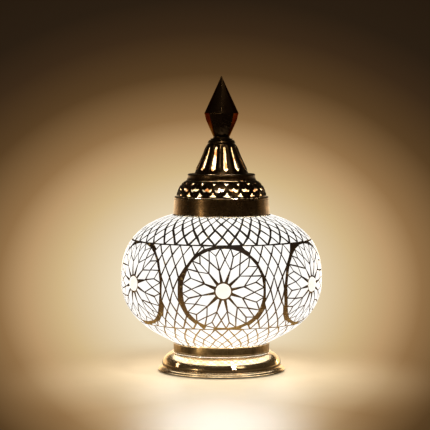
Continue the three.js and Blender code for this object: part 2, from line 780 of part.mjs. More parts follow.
// A slot with a round foot, narrowing upwards to a point.
function slotOutline() {
  const height = SLOT_TOP_Z - SLOT_BOTTOM_Z;
  const half = SLOT_BOTTOM_WIDTH / 2;
  const tip = SLOT_TOP_WIDTH / 2;
  return [
    [0, 0],
    [0.75 * half, 0.5 * half],
    [half, 1.5 * half],
    [tip, height - tip],
    [0, height],
    [-tip, height - tip],
    [-half, 1.5 * half],
    [-0.75 * half, 0.5 * half],
  ];
}

function slottedCone() {
  const slots = azimuths(SLOT_COUNT, SLOT_FIRST_AZIMUTH).map((azimuth) => {
    return wallCutter(slotOutline(), azimuth, SLOT_BOTTOM_Z, SLOT_CUT_NEAR, SLOT_CUT_FAR);
  });
  return cut(coneShell(), slots);
}

function crownNeck() {
  const bottom = CONE_TOP_Z + 0.7 + REST_GAP;
  const top = FINIAL_BOTTOM_Z - REST_GAP;
  return turned([
    [CROWN_HOLE_RADIUS, bottom],
    [CROWN_NECK_RADIUS - 0.3, bottom],
    [CROWN_NECK_RADIUS, bottom + 0.4],
    [CROWN_NECK_RADIUS - 0.3, bottom + 0.9],
    [FINIAL_BOTTOM_RADIUS, bottom + 1.2],
    [FINIAL_BOTTOM_RADIUS - 0.2, top],
    [CROWN_HOLE_RADIUS, top],
  ], 16);
}

function crownBridge() {
  return strap(CROWN_STRAP_HALF_LENGTH, CROWN_STRAP_Z, STRAP_THICKNESS, CROWN_HOLE_RADIUS);
}

function crownNut() {
  return hexNut(CROWN_NUT_RADIUS, CROWN_NUT_Z, CROWN_NUT_HEIGHT, CROWN_HOLE_RADIUS);
}

function crownRod() {
  return rod(ROD_RADIUS, ROD_BOTTOM_Z, ROD_TOP_Z - ROD_BOTTOM_Z);
}

// Eight flat sides, an edge facing front, with a blind bore for the rod.
function finial() {
  const boreTop = ROD_TOP_Z + CUT_GAP;
  return turned([
    [0, boreTop],
    [FINIAL_BORE_RADIUS, boreTop],
    [FINIAL_BORE_RADIUS, FINIAL_BOTTOM_Z],
    [FINIAL_BOTTOM_RADIUS, FINIAL_BOTTOM_Z],
    [FINIAL_BEVEL_RADIUS, FINIAL_WIDEST_Z - FINIAL_BEVEL_DROP],
    [FINIAL_RADIUS, FINIAL_WIDEST_Z],
    [0, FINIAL_TIP_Z],
  ], 8);
}

// ---- Cord, switch and plug ----

function cord(path, steps) {
  const curve = new THREE.CatmullRomCurve3(path.map((point) => new THREE.Vector3(...point)));
  const outline = roundOutline(CORD_RADIUS, 6).map(([x, y]) => new THREE.Vector2(x, y));
  const section = new THREE.Shape(outline);
  return new THREE.ExtrudeGeometry(section, { steps, bevelEnabled: false, extrudePath: curve });
}

// From the lamp holder down the nipple, along the foot's floor, out at the rear and into the switch.
function cable() {
  const floorZ = 5.1;
  return cord([
    [0, 0, HOLDER_CAP_TOP_Z - 1],
    [0, 0, 20],
    [0, 0, 11.5],
    [0, 1.1, 7.3],
    [0, 4.6, floorZ],
    [0, 12, floorZ],
    [0, 28, floorZ],
    [0, 42, CORD_HOLE_Z - 0.1],
    [0, 48, CORD_HOLE_Z],
    [0, 54, CORD_HOLE_Z - 0.1],
    [-2, 61, 4.4],
    [-7, 65.5, CORD_LYING_Z + 0.2],
    [-14, 68.6, CORD_LYING_Z + 0.4],
    [SWITCH_X + 0.8, 71.5, 5.2],
    [SWITCH_X, SWITCH_FRONT_Y - 2, SWITCH_SPLIT_Z],
    [SWITCH_X, SWITCH_FRONT_Y + 4, SWITCH_SPLIT_Z],
  ], 56);
}

function cableTail() {
  const switchRear = SWITCH_FRONT_Y + SWITCH_LENGTH;
  const plugRear = PLUG_FACE_Y + PLUG_LENGTH;
  return cord([
    [SWITCH_X, switchRear - 4, SWITCH_SPLIT_Z],
    [SWITCH_X, switchRear + 2, SWITCH_SPLIT_Z],
    [SWITCH_X + 1, switchRear + 8, CORD_LYING_Z + 1.2],
    [SWITCH_X + 7, switchRear + 17, CORD_LYING_Z],
    [0, switchRear + 21, CORD_LYING_Z],
    [PLUG_X - 7, plugRear + 15, CORD_LYING_Z],
    [PLUG_X - 1, plugRear + 7, CORD_LYING_Z + 1.2],
    [PLUG_X, plugRear + 2, PLUG_HEIGHT / 2],
    [PLUG_X, plugRear - 3, PLUG_HEIGHT / 2],
  ], 30);
}

// A bush through the rear hole, with one flange outside.
function cableGrommet() {
  const inside = CORD_RADIUS + CUT_GAP;
  const outside = CORD_HOLE_RADIUS - CUT_GAP;
  const innerEnd = FOOT_BULGE_RADIUS - 4.6;
  const flangeStart = FOOT_BULGE_RADIUS + 0.35;
  const flangeEnd = flangeStart + 1.25;
  const bush = turned([
    [inside, innerEnd],
    [outside, innerEnd],
    [outside, flangeStart],
    [GROMMET_FLANGE_RADIUS, flangeStart],
    [GROMMET_FLANGE_RADIUS - 0.4, flangeEnd],
    [inside, flangeEnd],
  ], 16);
  return facing(bush, 180, CORD_HOLE_Z);
}

// A lying hole for the cord, from one y to another.
function cordBore(x, z, fromY, toY) {
  const bore = rod(CORD_RADIUS + 2 * CUT_GAP, fromY, toY - fromY);
  return bore.rotateX(-Math.PI / 2).translate(x, 0, z);
}

function switchBlock(inset, bottom, height) {
  const middle = SWITCH_FRONT_Y + SWITCH_LENGTH / 2;
  const halfWidth = SWITCH_WIDTH / 2 - inset;
  const halfLength = SWITCH_LENGTH / 2 - inset;
  return prism(roundedOutline(halfWidth, halfLength, 5 - inset, SWITCH_X, middle), bottom, height);
}

function switchCordBores() {
  const rear = SWITCH_FRONT_Y + SWITCH_LENGTH;
  return [
    cordBore(SWITCH_X, SWITCH_SPLIT_Z, SWITCH_FRONT_Y - 1, SWITCH_FRONT_Y + 5),
    cordBore(SWITCH_X, SWITCH_SPLIT_Z, rear - 5, rear + 1),
  ];
}

function switchBase() {
  const top = SWITCH_SPLIT_Z - REST_GAP / 2;
  const hollow = switchBlock(SWITCH_WALL, SWITCH_WALL, top);
  return cut(switchBlock(0, 0, top), [hollow, ...switchCordBores()]);
}

// The upper half, with two ribs that carry the rocker's pins.
function switchCover() {
  const bottom = SWITCH_SPLIT_Z + REST_GAP / 2;
  const middle = SWITCH_FRONT_Y + SWITCH_LENGTH / 2;
  const height = SWITCH_TOP_Z - bottom;
  const hollow = switchBlock(SWITCH_WALL, bottom - 1, height - SWITCH_WALL + 1);
  const openingWidth = ROCKER_WIDTH + 0.8;
  const opening = box(SWITCH_X, middle, bottom, openingWidth, 19.8, height + 1);
  const ribWidth = 1.7;
  const ribs = [-1, 1].map((side) => {
    const x = SWITCH_X + side * (openingWidth / 2 + ribWidth / 2);
    return box(x, middle, ROCKER_PIVOT_Z - 2.6, ribWidth, 6, 4);
  });
  const pinBore = rod(ROCKER_PIN_RADIUS + CUT_GAP, -6.2, 12.4, 12);
  pinBore.rotateY(Math.PI / 2).translate(SWITCH_X, middle, ROCKER_PIVOT_Z);
  const shell = cut(switchBlock(0, bottom, height), [hollow, opening, ...switchCordBores()]);
  return cut(join(shell, ribs), [pinBore]);
}

// Drawn level about its pin, then tilted to the "on" position.
function switchRocker() {
  const middle = SWITCH_FRONT_Y + SWITCH_LENGTH / 2;
  const side = [[-5, -2.5], [5, -2.5], [8.6, 1], [8.6, 4.2], [0, 2.7], [-8.6, 4.2], [-8.6, 1]];
  const key = prism(side, -ROCKER_WIDTH / 2, ROCKER_WIDTH);
  key.rotateX(Math.PI / 2).rotateZ(Math.PI / 2);
  const pin = rod(ROCKER_PIN_RADIUS, -5.9, 11.8, 12).rotateY(Math.PI / 2);
  const rocker = join(key, [pin]);
  rocker.rotateX(THREE.MathUtils.degToRad(ROCKER_REST_TILT));
  return rocker.translate(SWITCH_X, middle, ROCKER_PIVOT_Z);
}

function plugPinCentres() {
  return [PLUG_X - PLUG_PIN_HALF_SPACING, PLUG_X + PLUG_PIN_HALF_SPACING];
}

// A rod lying along Y at the plug's mid height.
function plugBar(radius, x, fromY, toY) {
  const bar = rod(radius, fromY, toY - fromY);
  return bar.rotateX(-Math.PI / 2).translate(x, 0, PLUG_HEIGHT / 2);
}

function plugBody() {
  const rear = PLUG_FACE_Y + PLUG_LENGTH;
  const half = [
    [PLUG_HALF_WIDTH, PLUG_FACE_Y],
    [PLUG_HALF_WIDTH, PLUG_FACE_Y + 9],
    [PLUG_HALF_WIDTH - 4.6, PLUG_FACE_Y + 18],
    [7, PLUG_FACE_Y + 26],
    [5, rear],
  ];
  const right = half.map(([x, y]) => [PLUG_X + x, y]);
  const left = half.map(([x, y]) => [PLUG_X - x, y]).reverse();
  const body = prism([...right, ...left], 0, PLUG_HEIGHT);
  const sockets = plugPinCentres().map((x) => {
    return plugBar(PLUG_PIN_RADIUS + CUT_GAP, x, PLUG_FACE_Y - 1, PLUG_FACE_Y + 8);
  });
  return cut(body, [...sockets, plugBar(CORD_RADIUS + 2 * CUT_GAP, PLUG_X, rear - 5, rear + 1)]);
}

function plugPin(x) {
  return plugBar(PLUG_PIN_RADIUS, x, PLUG_FACE_Y - PLUG_PIN_LENGTH, PLUG_FACE_Y + 7);
}

// ---- Finishes ----

function finish(color, roughness, metalness) {
  return () => new THREE.MeshStandardMaterial({ color, roughness, metalness });
}

const antiqueBrass = finish(0x6e5028, 0.42, 1.0);
const darkBronze = finish(0x3a2814, 0.45, 1.0);
const steel = finish(0xa8a8a6, 0.4, 1.0);
const nickel = finish(0xc9c6bd, 0.3, 1.0);
const felt = finish(0x2a1a12, 0.95, 0.0);
const rubber = finish(0x161616, 0.8, 0.0);
const porcelain = finish(0xe8e4da, 0.3, 0.0);
const clearGlass = finish(0xf4efe2, 0.1, 0.0);
const opalGlass = finish(0xfff4dc, 0.3, 0.0);
const whiteTesserae = finish(0xfdf3dd, 0.25, 0.0);
const beadGlass = finish(0xf0e0b0, 0.15, 0.0);
const grout = finish(0x6f4a1f, 0.8, 0.2);
const blackPlastic = finish(0x121212, 0.4, 0.0);

// ---- Assembly ----

const lamp = new THREE.Group();
lamp.name = "mosaic_table_lamp";

function add(name, geometry, material) {
  const mesh = new THREE.Mesh(geometry, material());
  mesh.name = name;
  lamp.add(mesh);
}

add("felt_pad", feltPad(), felt);
add("base_plate", basePlate(), steel);
add("base_foot", baseFoot(), antiqueBrass);
add("neck_ring", neckRing(), antiqueBrass);
add("lower_collar", lowerCollar(), antiqueBrass);
add("lower_bridge", lowerBridge(), steel);
add("lamp_bridge", lampBridge(), steel);
add("hollow_nipple", hollowNipple(), steel);
add("nipple_nut", nippleNut(), steel);
add("holder_cap", holderCap(), blackPlastic);
add("holder_body", holderBody(), blackPlastic);
add("holder_core", holderCore(), porcelain);
add("holder_screw_shell", holderScrewShell(), nickel);
add("holder_contact", holderContact(), nickel);

add("bulb_contact", bulbContact(), nickel);
add("bulb_insulator", bulbInsulator(), blackPlastic);
add("bulb_cap", bulbCap(), nickel);
add("bulb_envelope", bulbEnvelope(), opalGlass);
add("led_column", ledColumn(), porcelain);

add("glass_gasket", glassGasket(), rubber);
add("globe_glass", globeGlass(), clearGlass);
add("grout_layer", groutLayer(), grout);
add("mosaic_band_bottom", mosaicBandBottom(), whiteTesserae);
add("mosaic_band_top", mosaicBandTop(), whiteTesserae);
azimuths(ROSETTE_COUNT).forEach((azimuth, i) => {
  add(`mosaic_rosette_${i + 1}`, rosette(azimuth), whiteTesserae);
  add(`mosaic_net_${i + 1}`, net(azimuth + 180 / ROSETTE_COUNT), whiteTesserae);
  add(`rosette_bead_${i + 1}`, rosetteBead(azimuth), beadGlass);
});

add("upper_collar", upperCollar(), antiqueBrass);
add("pierced_dome", piercedDome(), antiqueBrass);
add("crown_ring", crownRing(), antiqueBrass);
add("slotted_cone", slottedCone(), antiqueBrass);
add("crown_neck", crownNeck(), antiqueBrass);
add("crown_bridge", crownBridge(), steel);
add("crown_rod", crownRod(), steel);
add("crown_nut", crownNut(), steel);
add("finial", finial(), darkBronze);

add("cable", cable(), rubber);
add("cable_grommet", cableGrommet(), rubber);
add("switch_base", switchBase(), blackPlastic);
add("switch_cover", switchCover(), blackPlastic);
add("switch_rocker", switchRocker(), blackPlastic);
add("cable_tail", cableTail(), rubber);
add("plug_body", plugBody(), blackPlastic);
plugPinCentres().forEach((x, i) => {
  add(i === 0 ? "plug_pin_left" : "plug_pin_right", plugPin(x), nickel);
});

export default lamp;
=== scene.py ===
"""Looks of the mosaic glass table lamp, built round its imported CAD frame.

Shapes are worked out in millimetres, in the frame's own axes, and scaled to metres when a mesh is made.
Azimuths are counted from the front (-Y) towards +X, as in the CAD part. A builder is a pair of lists, of
points and of faces, that several shapes are added to.
"""

import json
import math
import random

import bpy
import numpy as np
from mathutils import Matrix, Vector

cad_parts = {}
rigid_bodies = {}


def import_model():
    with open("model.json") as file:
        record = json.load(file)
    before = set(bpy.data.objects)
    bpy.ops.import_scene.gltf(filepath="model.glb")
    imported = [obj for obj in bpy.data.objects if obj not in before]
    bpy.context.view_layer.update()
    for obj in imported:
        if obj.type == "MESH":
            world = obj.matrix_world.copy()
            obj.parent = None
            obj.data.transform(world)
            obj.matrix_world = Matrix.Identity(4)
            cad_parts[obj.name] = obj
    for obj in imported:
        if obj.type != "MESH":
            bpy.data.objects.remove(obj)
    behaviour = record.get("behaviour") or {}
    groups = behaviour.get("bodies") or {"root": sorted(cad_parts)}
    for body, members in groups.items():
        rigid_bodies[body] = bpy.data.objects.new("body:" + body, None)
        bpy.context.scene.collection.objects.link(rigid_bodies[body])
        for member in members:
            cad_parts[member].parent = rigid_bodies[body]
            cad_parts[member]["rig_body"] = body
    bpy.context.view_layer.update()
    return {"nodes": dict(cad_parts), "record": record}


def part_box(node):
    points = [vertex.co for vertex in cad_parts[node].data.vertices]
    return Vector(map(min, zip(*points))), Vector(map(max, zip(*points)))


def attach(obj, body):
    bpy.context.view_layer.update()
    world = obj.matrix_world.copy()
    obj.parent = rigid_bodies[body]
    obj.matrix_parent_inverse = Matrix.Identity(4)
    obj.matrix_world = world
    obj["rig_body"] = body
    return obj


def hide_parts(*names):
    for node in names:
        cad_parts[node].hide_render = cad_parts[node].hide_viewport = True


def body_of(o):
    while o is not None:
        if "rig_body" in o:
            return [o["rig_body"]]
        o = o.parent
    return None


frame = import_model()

MM = 0.001
SLOTS = {part["node"]: part["material_slot"] for part in frame["record"]["subparts"]}
rng = random.Random(20)


def box_mm(node):
    """Lowest and highest corner of a CAD node."""
    low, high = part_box(node)
    return [c / MM for c in low], [c / MM for c in high]


def extent(node):
    """Outer radius, lowest level and highest level of a CAD node."""
    low, high = box_mm(node)
    return high[0], low[2], high[2]


def centre_of(node):
    return [(a + b) / 2 for a, b in zip(*box_mm(node))]


# ---------------------------------------------------------------- the globe's outline

UPPER_POWER, UPPER_HALF = 2.6, 60.1
LOWER_POWER, LOWER_HALF = 2.05, 57.2
STRAIGHT_BELOW = 45.5
LINE_WIDTH = 0.5
GLOBE_RADIUS = extent("mosaic_net_2")[0]
LOWER_LINE = extent("mosaic_net_1")[1] - LINE_WIDTH
UPPER_LINE = extent("mosaic_net_1")[2] + LINE_WIDTH
EQUATOR = centre_of("rosette_bead_1")[2]
GLOBE_BOTTOM = extent("mosaic_band_bottom")[1]
GLOBE_TOP = extent("mosaic_band_top")[2]


# ---------------------------------------------------------------- mesh helpers

def turns(count):
    """Equal turns round a circle, in radians."""
    return [2 * math.pi * i / count for i in range(count)]


def around(turn, reach, z):
    """The point at an azimuth in radians, a reach from the axis and a height."""
    return (reach * math.sin(turn), -reach * math.cos(turn), z)


def skin(start, count, rings, looped=False, flipped=False):
    """Quads between rings of count points each, listed ring after ring from start."""
    faces = []
    for ring in range(rings if looped else rings - 1):
        a, b = start + ring * count, start + (ring + 1) % rings * count
        for i in range(count):
            j = (i + 1) % count
            faces.append([a + i, b + i, b + j, a + j] if flipped else [a + i, a + j, b + j, b + i])
    return faces


def fan(start, count, tip):
    """Triangles from a ring of points to a tip."""
    return [[start + i, start + (i + 1) % count, tip] for i in range(count)]


def disc(start, count):
    """One face over a ring of points, seen from below."""
    return list(range(start, start + count))[::-1]


def domed(start, count, rings):
    """The faces of a stack of rings that is closed below, with a point on top listed last."""
    last = start + (rings - 1) * count
    return [*skin(start, count, rings), *fan(last, count, last + count), disc(start, count)]


def new_mesh(name, verts, faces):
    mesh = bpy.data.meshes.new(name)
    mesh.from_pydata([(x * MM, y * MM, z * MM) for x, y, z in verts], [], faces)
    return mesh


def linked(name, data):
    obj = bpy.data.objects.new(name, data)
    bpy.context.scene.collection.objects.link(obj)
    return obj


def piece(name, verts, faces, material, node, extra=False, tints=None, kinds=None, sharp_angle=35):
    """A shown mesh on its CAD node's body: in the node's place, or beside it if extra.

    kinds picks each face's material from a list.
    """
    mesh = new_mesh(name, verts, faces)
    mesh.validate()
    mesh.update()
    mesh.shade_smooth()
    mesh.set_sharp_from_angle(angle=math.radians(sharp_angle))
    for entry in material if isinstance(material, list) else [material]:
        mesh.materials.append(entry)
    if tints is not None:
        layer = mesh.color_attributes.new("tint", "FLOAT_COLOR", "POINT")
        for entry, tint in zip(layer.data, tints):
            entry.color = (tint, tint, tint, 1.0)
    if kinds is not None:
        mesh.polygons.foreach_set("material_index", kinds)
    obj = linked(name, mesh)
    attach(obj, body_of(frame["nodes"][node])[0])
    if not extra:
        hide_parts(node)
    return obj


def smooth_run(points, steps=5):
    """Points along a Catmull-Rom curve through the given ones."""
    padded = [points[0]] + list(points) + [points[-1]]
    run = []
    for i in range(1, len(padded) - 2):
        before, start, end, after = (np.array(p, float) for p in padded[i - 1:i + 3])
        for step in range(steps):
            t = step / steps
            run.append(tuple(
                0.5 * (2 * start + (end - before) * t + (2 * before - 5 * start + 4 * end - after) * t * t
                       + (3 * start - before - 3 * end + after) * t ** 3)))
    run.append(tuple(points[-1]))
    return run


def steps_from(radius, z, *steps):
    """Points in the [radius, z] plane, by their steps from a place in it."""
    return [(radius + out, z + up) for out, up in steps]


def arc(centre_r, centre_z, radius, start, end, steps):
    """A run of [radius, z] points round a centre, between two angles in degrees."""
    angles = [math.radians(start + (end - start) * i / steps) for i in range(steps + 1)]
    return [(centre_r + radius * math.cos(t), centre_z + radius * math.sin(t)) for t in angles]


SEAM_AZIMUTH = -56
SEAM_DEPTH, SEAM_HALF_WIDTH = 0.28, 0.3
SEAM_STEPS = (-0.9, -0.45, -0.15, 0.15, 0.45, 0.9)


def ring_angles(segments, seamed):
    """Azimuths round a turned piece, in radians, closer together at the seam."""
    angles = turns(segments)
    if seamed:
        angles += [math.radians(SEAM_AZIMUTH % 360 + offset) for offset in SEAM_STEPS]
    return sorted(a % (2 * math.pi) for a in angles)


def turned(name, profile, material, node, segments=144, seamed=False, relief=None, inside=()):
    """A closed [radius, z] profile, listed counter-clockwise, revolved about Z.

    relief gives the height of a raised pattern at an azimuth in degrees, a radius and a level. inside gives
    the first and last step of the profile that face inwards and are left raw.
    """
    verts, faces, kinds = [], [], []
    columns = []
    poles = {}
    for angle in ring_angles(segments, seamed):
        off_seam = abs((math.degrees(angle) - SEAM_AZIMUTH + 180) % 360 - 180)
        dip = SEAM_DEPTH if seamed and off_seam < SEAM_HALF_WIDTH else 0.0
        column = []
        for i, (radius, z) in enumerate(profile):
            if radius < 1e-6 and i in poles:
                column.append(poles[i])
                continue
            if radius < 1e-6:
                poles[i] = len(verts)
            column.append(len(verts))
            raised = relief(math.degrees(angle), radius, z) if relief else 0.0
            reach = radius - dip + raised if radius > 1e-6 else 0.0
            verts.append(around(angle, reach, z))
        columns.append(column)
    count = len(profile)
    for here, there in zip(columns, columns[1:] + columns[:1]):
        for i in range(count - 1 if poles else count):
            j = (i + 1) % count
            corners = [here[i], there[i], there[j], here[j]]
            corners = [c for k, c in enumerate(corners) if c != corners[k - 1]]
            if len(corners) > 2:
                faces.append(corners)
                kinds.append(1 if inside and inside[0] <= i <= inside[1] else 0)
    materials = [material, RAW_BRASS] if inside else material
    return piece(name, verts, faces, materials, node, kinds=kinds if inside else None)


class Chart:
    """A surface of revolution as a sheet: an azimuth, and a length along its outline from a given height."""

    def __init__(self, outline, zero_z):
        self.radii, self.heights = np.array(outline, float).T
        steps = np.hypot(np.diff(self.radii), np.diff(self.heights))
        lengths = np.concatenate([[0], np.cumsum(steps)])
        self.length = lengths - np.interp(zero_z, self.heights, lengths)
        along_r, along_z = np.gradient(self.radii, lengths), np.gradient(self.heights, lengths)
        scale = np.hypot(along_r, along_z)
        self.normal_r, self.normal_z = along_z / scale, -along_r / scale

    def at(self, s, values):
        return float(np.interp(s, self.length, values))

    def radius(self, s):
        return self.at(s, self.radii)

    def length_at(self, z):
        return float(np.interp(z, self.heights, self.length))

    def point(self, azimuth, s, height=0.0):
        """The point above a place on the sheet; azimuth in radians."""
        radius = self.radius(s) + height * self.at(s, self.normal_r)
        return around(azimuth, radius, self.at(s, self.heights) + height * self.at(s, self.normal_z))

    def place(self, azimuth, s, x, y, height=0.0):
        """The point x to the right and y up from a place on the sheet."""
        return self.point(azimuth + x / self.radius(s + y), s + y, height)

    def behind(self, wall):
        """Outline of the sheet's other face, from its end back to its start."""
        return [(-y, z) for _, y, z in (self.point(0.0, s, -wall) for s in self.length[::-1])]


def prism_on(chart, azimuth, s, outline, low, high, builder):
    """Adds a closed prism, square to the surface."""
    verts, faces = builder
    start, count = len(verts), len(outline)
    for height in (low, high):
        verts.extend(chart.place(azimuth, s, x, y, height) for x, y in outline)
    faces += [disc(start, count), disc(start + count, count)[::-1], *skin(start, count, 2)]


def ring_about(point, side, up, radius, sides):
    return [tuple(point + radius * (math.cos(t) * side + math.sin(t) * up)) for t in turns(sides)]


def rim_on(chart, azimuth, s, outline, radius, builder, lift, sides=6):
    """Adds a raised round border along a closed outline on the surface."""
    verts, faces = builder
    start, count = len(verts), len(outline)
    path = [Vector(chart.place(azimuth, s, x, y, lift)) for x, y in outline]
    above = [Vector(chart.place(azimuth, s, x, y, lift + 1.0)) for x, y in outline]
    for i in range(count):
        along = (path[(i + 1) % count] - path[i - 1]).normalized()
        up = (above[i] - path[i]).normalized()
        verts += ring_about(path[i], along.cross(up).normalized(), up, radius, sides)
    faces += skin(start, sides, count, looped=True, flipped=True)


def stud_on(chart, azimuth, s, radius, builder, sides=10):
    """Adds a low round stud."""
    verts, faces = builder
    start = len(verts)
    levels = [(1.0, -0.3), (1.0, 0.0), (0.85, 0.35), (0.5, 0.58)]
    for reach, height in levels:
        for t in turns(sides):
            x, y = radius * reach * math.cos(t), radius * reach * math.sin(t)
            verts.append(chart.place(azimuth, s, x, y, height * radius))
    verts.append(chart.point(azimuth, s, 0.65 * radius))
    faces += domed(start, sides, len(levels))


def cut_with(obj, builder):
    """Cuts a builder's solids out of a piece."""
    cutter = linked("cutter", new_mesh("cutter", *builder))
    modifier = obj.modifiers.new("openings", "BOOLEAN")
    modifier.operation = "DIFFERENCE"
    modifier.solver = "MANIFOLD"
    modifier.object = cutter
    bpy.context.view_layer.update()
    result = bpy.data.meshes.new_from_object(obj.evaluated_get(bpy.context.evaluated_depsgraph_get()))
    obj.modifiers.clear()
    obj.data = result
    result.set_sharp_from_angle(angle=math.radians(35))
    bpy.data.objects.remove(cutter)


# ---------------------------------------------------------------- materials

class Graph:
    """The node tree of a material or world, with short ways to add and join nodes."""

    def __init__(self, owner):
        owner.use_nodes = True
        self.owner = owner
        self.tree = owner.node_tree

    def feed(self, node, inputs):
        """Joins or sets a node's inputs, given by place or by name."""
        for key, value in inputs:
            socket = node.inputs[key.replace("_", " ") if isinstance(key, str) else key]
            if isinstance(value, bpy.types.NodeSocket):
                self.tree.links.new(value, socket)
            else:
                socket.default_value = value

    def add(self, kind, *first, settings=None, **inputs):
        node = self.tree.nodes.new("ShaderNode" + kind)
        for key, value in (settings or {}).items():
            setattr(node, key, value)
        self.feed(node, [*enumerate(first), *inputs.items()])
        return node

    def surface(self, **inputs):
        """Feeds the material's main shader, and gives the material."""
        self.feed(self.tree.nodes["Principled BSDF"], inputs.items())
        return self.owner

    def math(self, operation, *values):
        return self.add("Math", *values, settings={"operation": operation}).outputs[0]

    def vector(self, operation, *values):
        node = self.add("VectorMath", *values, settings={"operation": operation})
        return node.outputs["Value" if operation == "LENGTH" else "Vector"]

    def split(self, vector):
        return self.add("SeparateXYZ", vector).outputs

    def place(self, kind="Object"):
        return self.add("TexCoord").outputs[kind]

    def noise(self, scale, detail=4.0, roughness=0.55, vector=None):
        vector = self.place() if vector is None else vector
        node = self.add("TexNoise", Vector=vector, Scale=scale, Detail=detail, Roughness=roughness)
        return node.outputs["Fac"]

    def spun_noise(self, around_axis, outwards, upwards, detail):
        """Noise stretched round the lamp's axis, for the marks left by spinning."""
        x, y, z = self.split(self.place())
        squares = self.math("ADD", self.math("POWER", x, 2.0), self.math("POWER", y, 2.0))
        drawn_out = self.add("CombineXYZ", self.math("MULTIPLY", self.math("ARCTAN2", y, x), around_axis),
                             self.math("MULTIPLY", self.math("SQRT", squares), outwards),
                             self.math("MULTIPLY", z, upwards))
        return self.noise(1.0, detail, vector=drawn_out.outputs["Vector"])

    def ramp(self, value, *stops, interpolation="EASE"):
        """Colours or greys at places along 0 to 1."""
        node = self.add("ValToRGB", value)
        elements = node.color_ramp.elements
        while len(elements) < len(stops):
            elements.new(0.5)
        for element, (place, shade) in zip(elements, stops):
            element.position = place
            element.color = (*shade, 1.0) if isinstance(shade, tuple) else (shade, shade, shade, 1.0)
        node.color_ramp.interpolation = interpolation
        return node.outputs["Color"]

    def mix(self, kind, factor, first, second):
        return self.add("MixRGB", factor, first, second, settings={"blend_type": kind}).outputs[0]

    def shade(self, base, strength, pattern, *stops):
        """The base darkened where a pattern's ramp is dark."""
        return self.mix("MULTIPLY", strength, base, self.ramp(pattern, *stops))

    def map_range(self, value, interpolation="LINEAR", **ends):
        node = self.add("MapRange", Value=value, settings={"interpolation_type": interpolation}, **ends)
        return node.outputs["Result"]

    def bump(self, height, strength, distance_mm, **below):
        node = self.add("Bump", Strength=strength, Distance=distance_mm * MM, Height=height, **below)
        return node.outputs["Normal"]


def material_graph(name):
    return Graph(bpy.data.materials.new(name))


def antique_metal(name, bright, dark, roughness, line_strength=0.3, wear=0.6, edge=(1.0, 1.0, 1.0)):
    """Spun metal with turning lines, brushed streaks and a dark patina. Edge is its tone seen aslant."""
    g = material_graph(name)
    lines = g.spun_noise(2.5, 2600.0, 2600.0, 3.0)
    patina = g.noise(55.0, 8.0, 0.65)
    base = g.ramp(patina, (0.34, dark), (0.62, bright))
    base = g.shade(base, wear, g.spun_noise(14.0, 60.0, 45.0, 5.0), (0.3, 0.5), (0.7, 1.0))
    base = g.shade(base, 0.4, lines, (0.3, 0.6), (0.65, 1.0))
    base = g.shade(base, wear, g.noise(900.0, 3.0), (0.33, 0.35), (0.42, 1.0))
    rough = g.ramp(patina, (0.3, roughness + 0.14), (0.7, roughness - 0.05))
    return g.surface(Base_Color=base, Metallic=1.0, Roughness=g.mix("ADD", 0.08, rough, lines),
                     Normal=g.bump(patina, 0.1, 0.3, Normal=g.bump(lines, line_strength, 0.03)),
                     Specular_Tint=(*edge, 1.0))


def raw_brass():
    """The unfinished inner face of pressed sheet, which throws the bulb's light about."""
    g = material_graph("raw_brass")
    mill = g.noise(400.0)
    stain = g.noise(150.0, 5.0)
    base = g.ramp(stain, (0.4, (0.3, 0.12, 0.035)), (0.52, (0.95, 0.83, 0.6)))
    return g.surface(Base_Color=base, Metallic=0.35, Roughness=g.ramp(mill, (0.3, 0.45), (0.7, 0.6)),
                     Normal=g.bump(mill, 0.2, 0.05))


def bright_bead():
    """The polished metal of the ring under the collar, its colour lifted nearly to white as a painted
    highlight, so it shows the globe's light as a white line.
    """
    g = material_graph("bright_brass_bead")
    lines = g.spun_noise(3.0, 1800.0, 1800.0, 2.0)
    wear = g.spun_noise(10.0, 100.0, 100.0, 4.0)
    base = g.ramp(wear, (0.3, (0.92, 0.82, 0.62)), (0.6, (1.0, 0.95, 0.84)))
    return g.surface(Base_Color=base, Metallic=1.0, Roughness=g.ramp(lines, (0.3, 0.2), (0.7, 0.28)),
                     Normal=g.bump(lines, 0.1, 0.03))


def lit_glass(name, colour, seen, cast, sparkle):
    """Opal glass lit from behind. The camera sees the strength seen; the room gets the strength cast."""
    g = material_graph(name)
    tint = g.add("VertexColor", settings={"layer_name": "tint"}).outputs["Color"]
    cloud = g.noise(160.0, 6.0, 0.6)
    grain = g.noise(1400.0)
    tone = g.shade(tint, 1.0, cloud, (0.3, 0.9), (0.6, 1.0))
    tone = g.shade(tone, sparkle, grain, (0.32, 0.55), (0.5, 1.0))
    is_seen = g.add("LightPath").outputs["Is Camera Ray"]
    return g.surface(Base_Color=(0.3, 0.28, 0.24, 1.0), Roughness=g.ramp(cloud, (0.3, 0.3), (0.7, 0.16)),
                     Emission_Color=g.mix("MULTIPLY", 1.0, tone, (*colour, 1.0)),
                     Emission_Strength=g.math("ADD", g.math("MULTIPLY", is_seen, seen - cast), cast),
                     Normal=g.bump(grain, 0.25, 0.12))


def glass_edge():
    """The cut sides of the glass pieces, stained by the grout."""
    g = material_graph("tessera_side")
    stain = g.ramp(g.noise(900.0, 3.0), (0.3, (0.1, 0.06, 0.025)), (0.7, (0.2, 0.13, 0.06)))
    return g.surface(Base_Color=stain, Roughness=0.5)


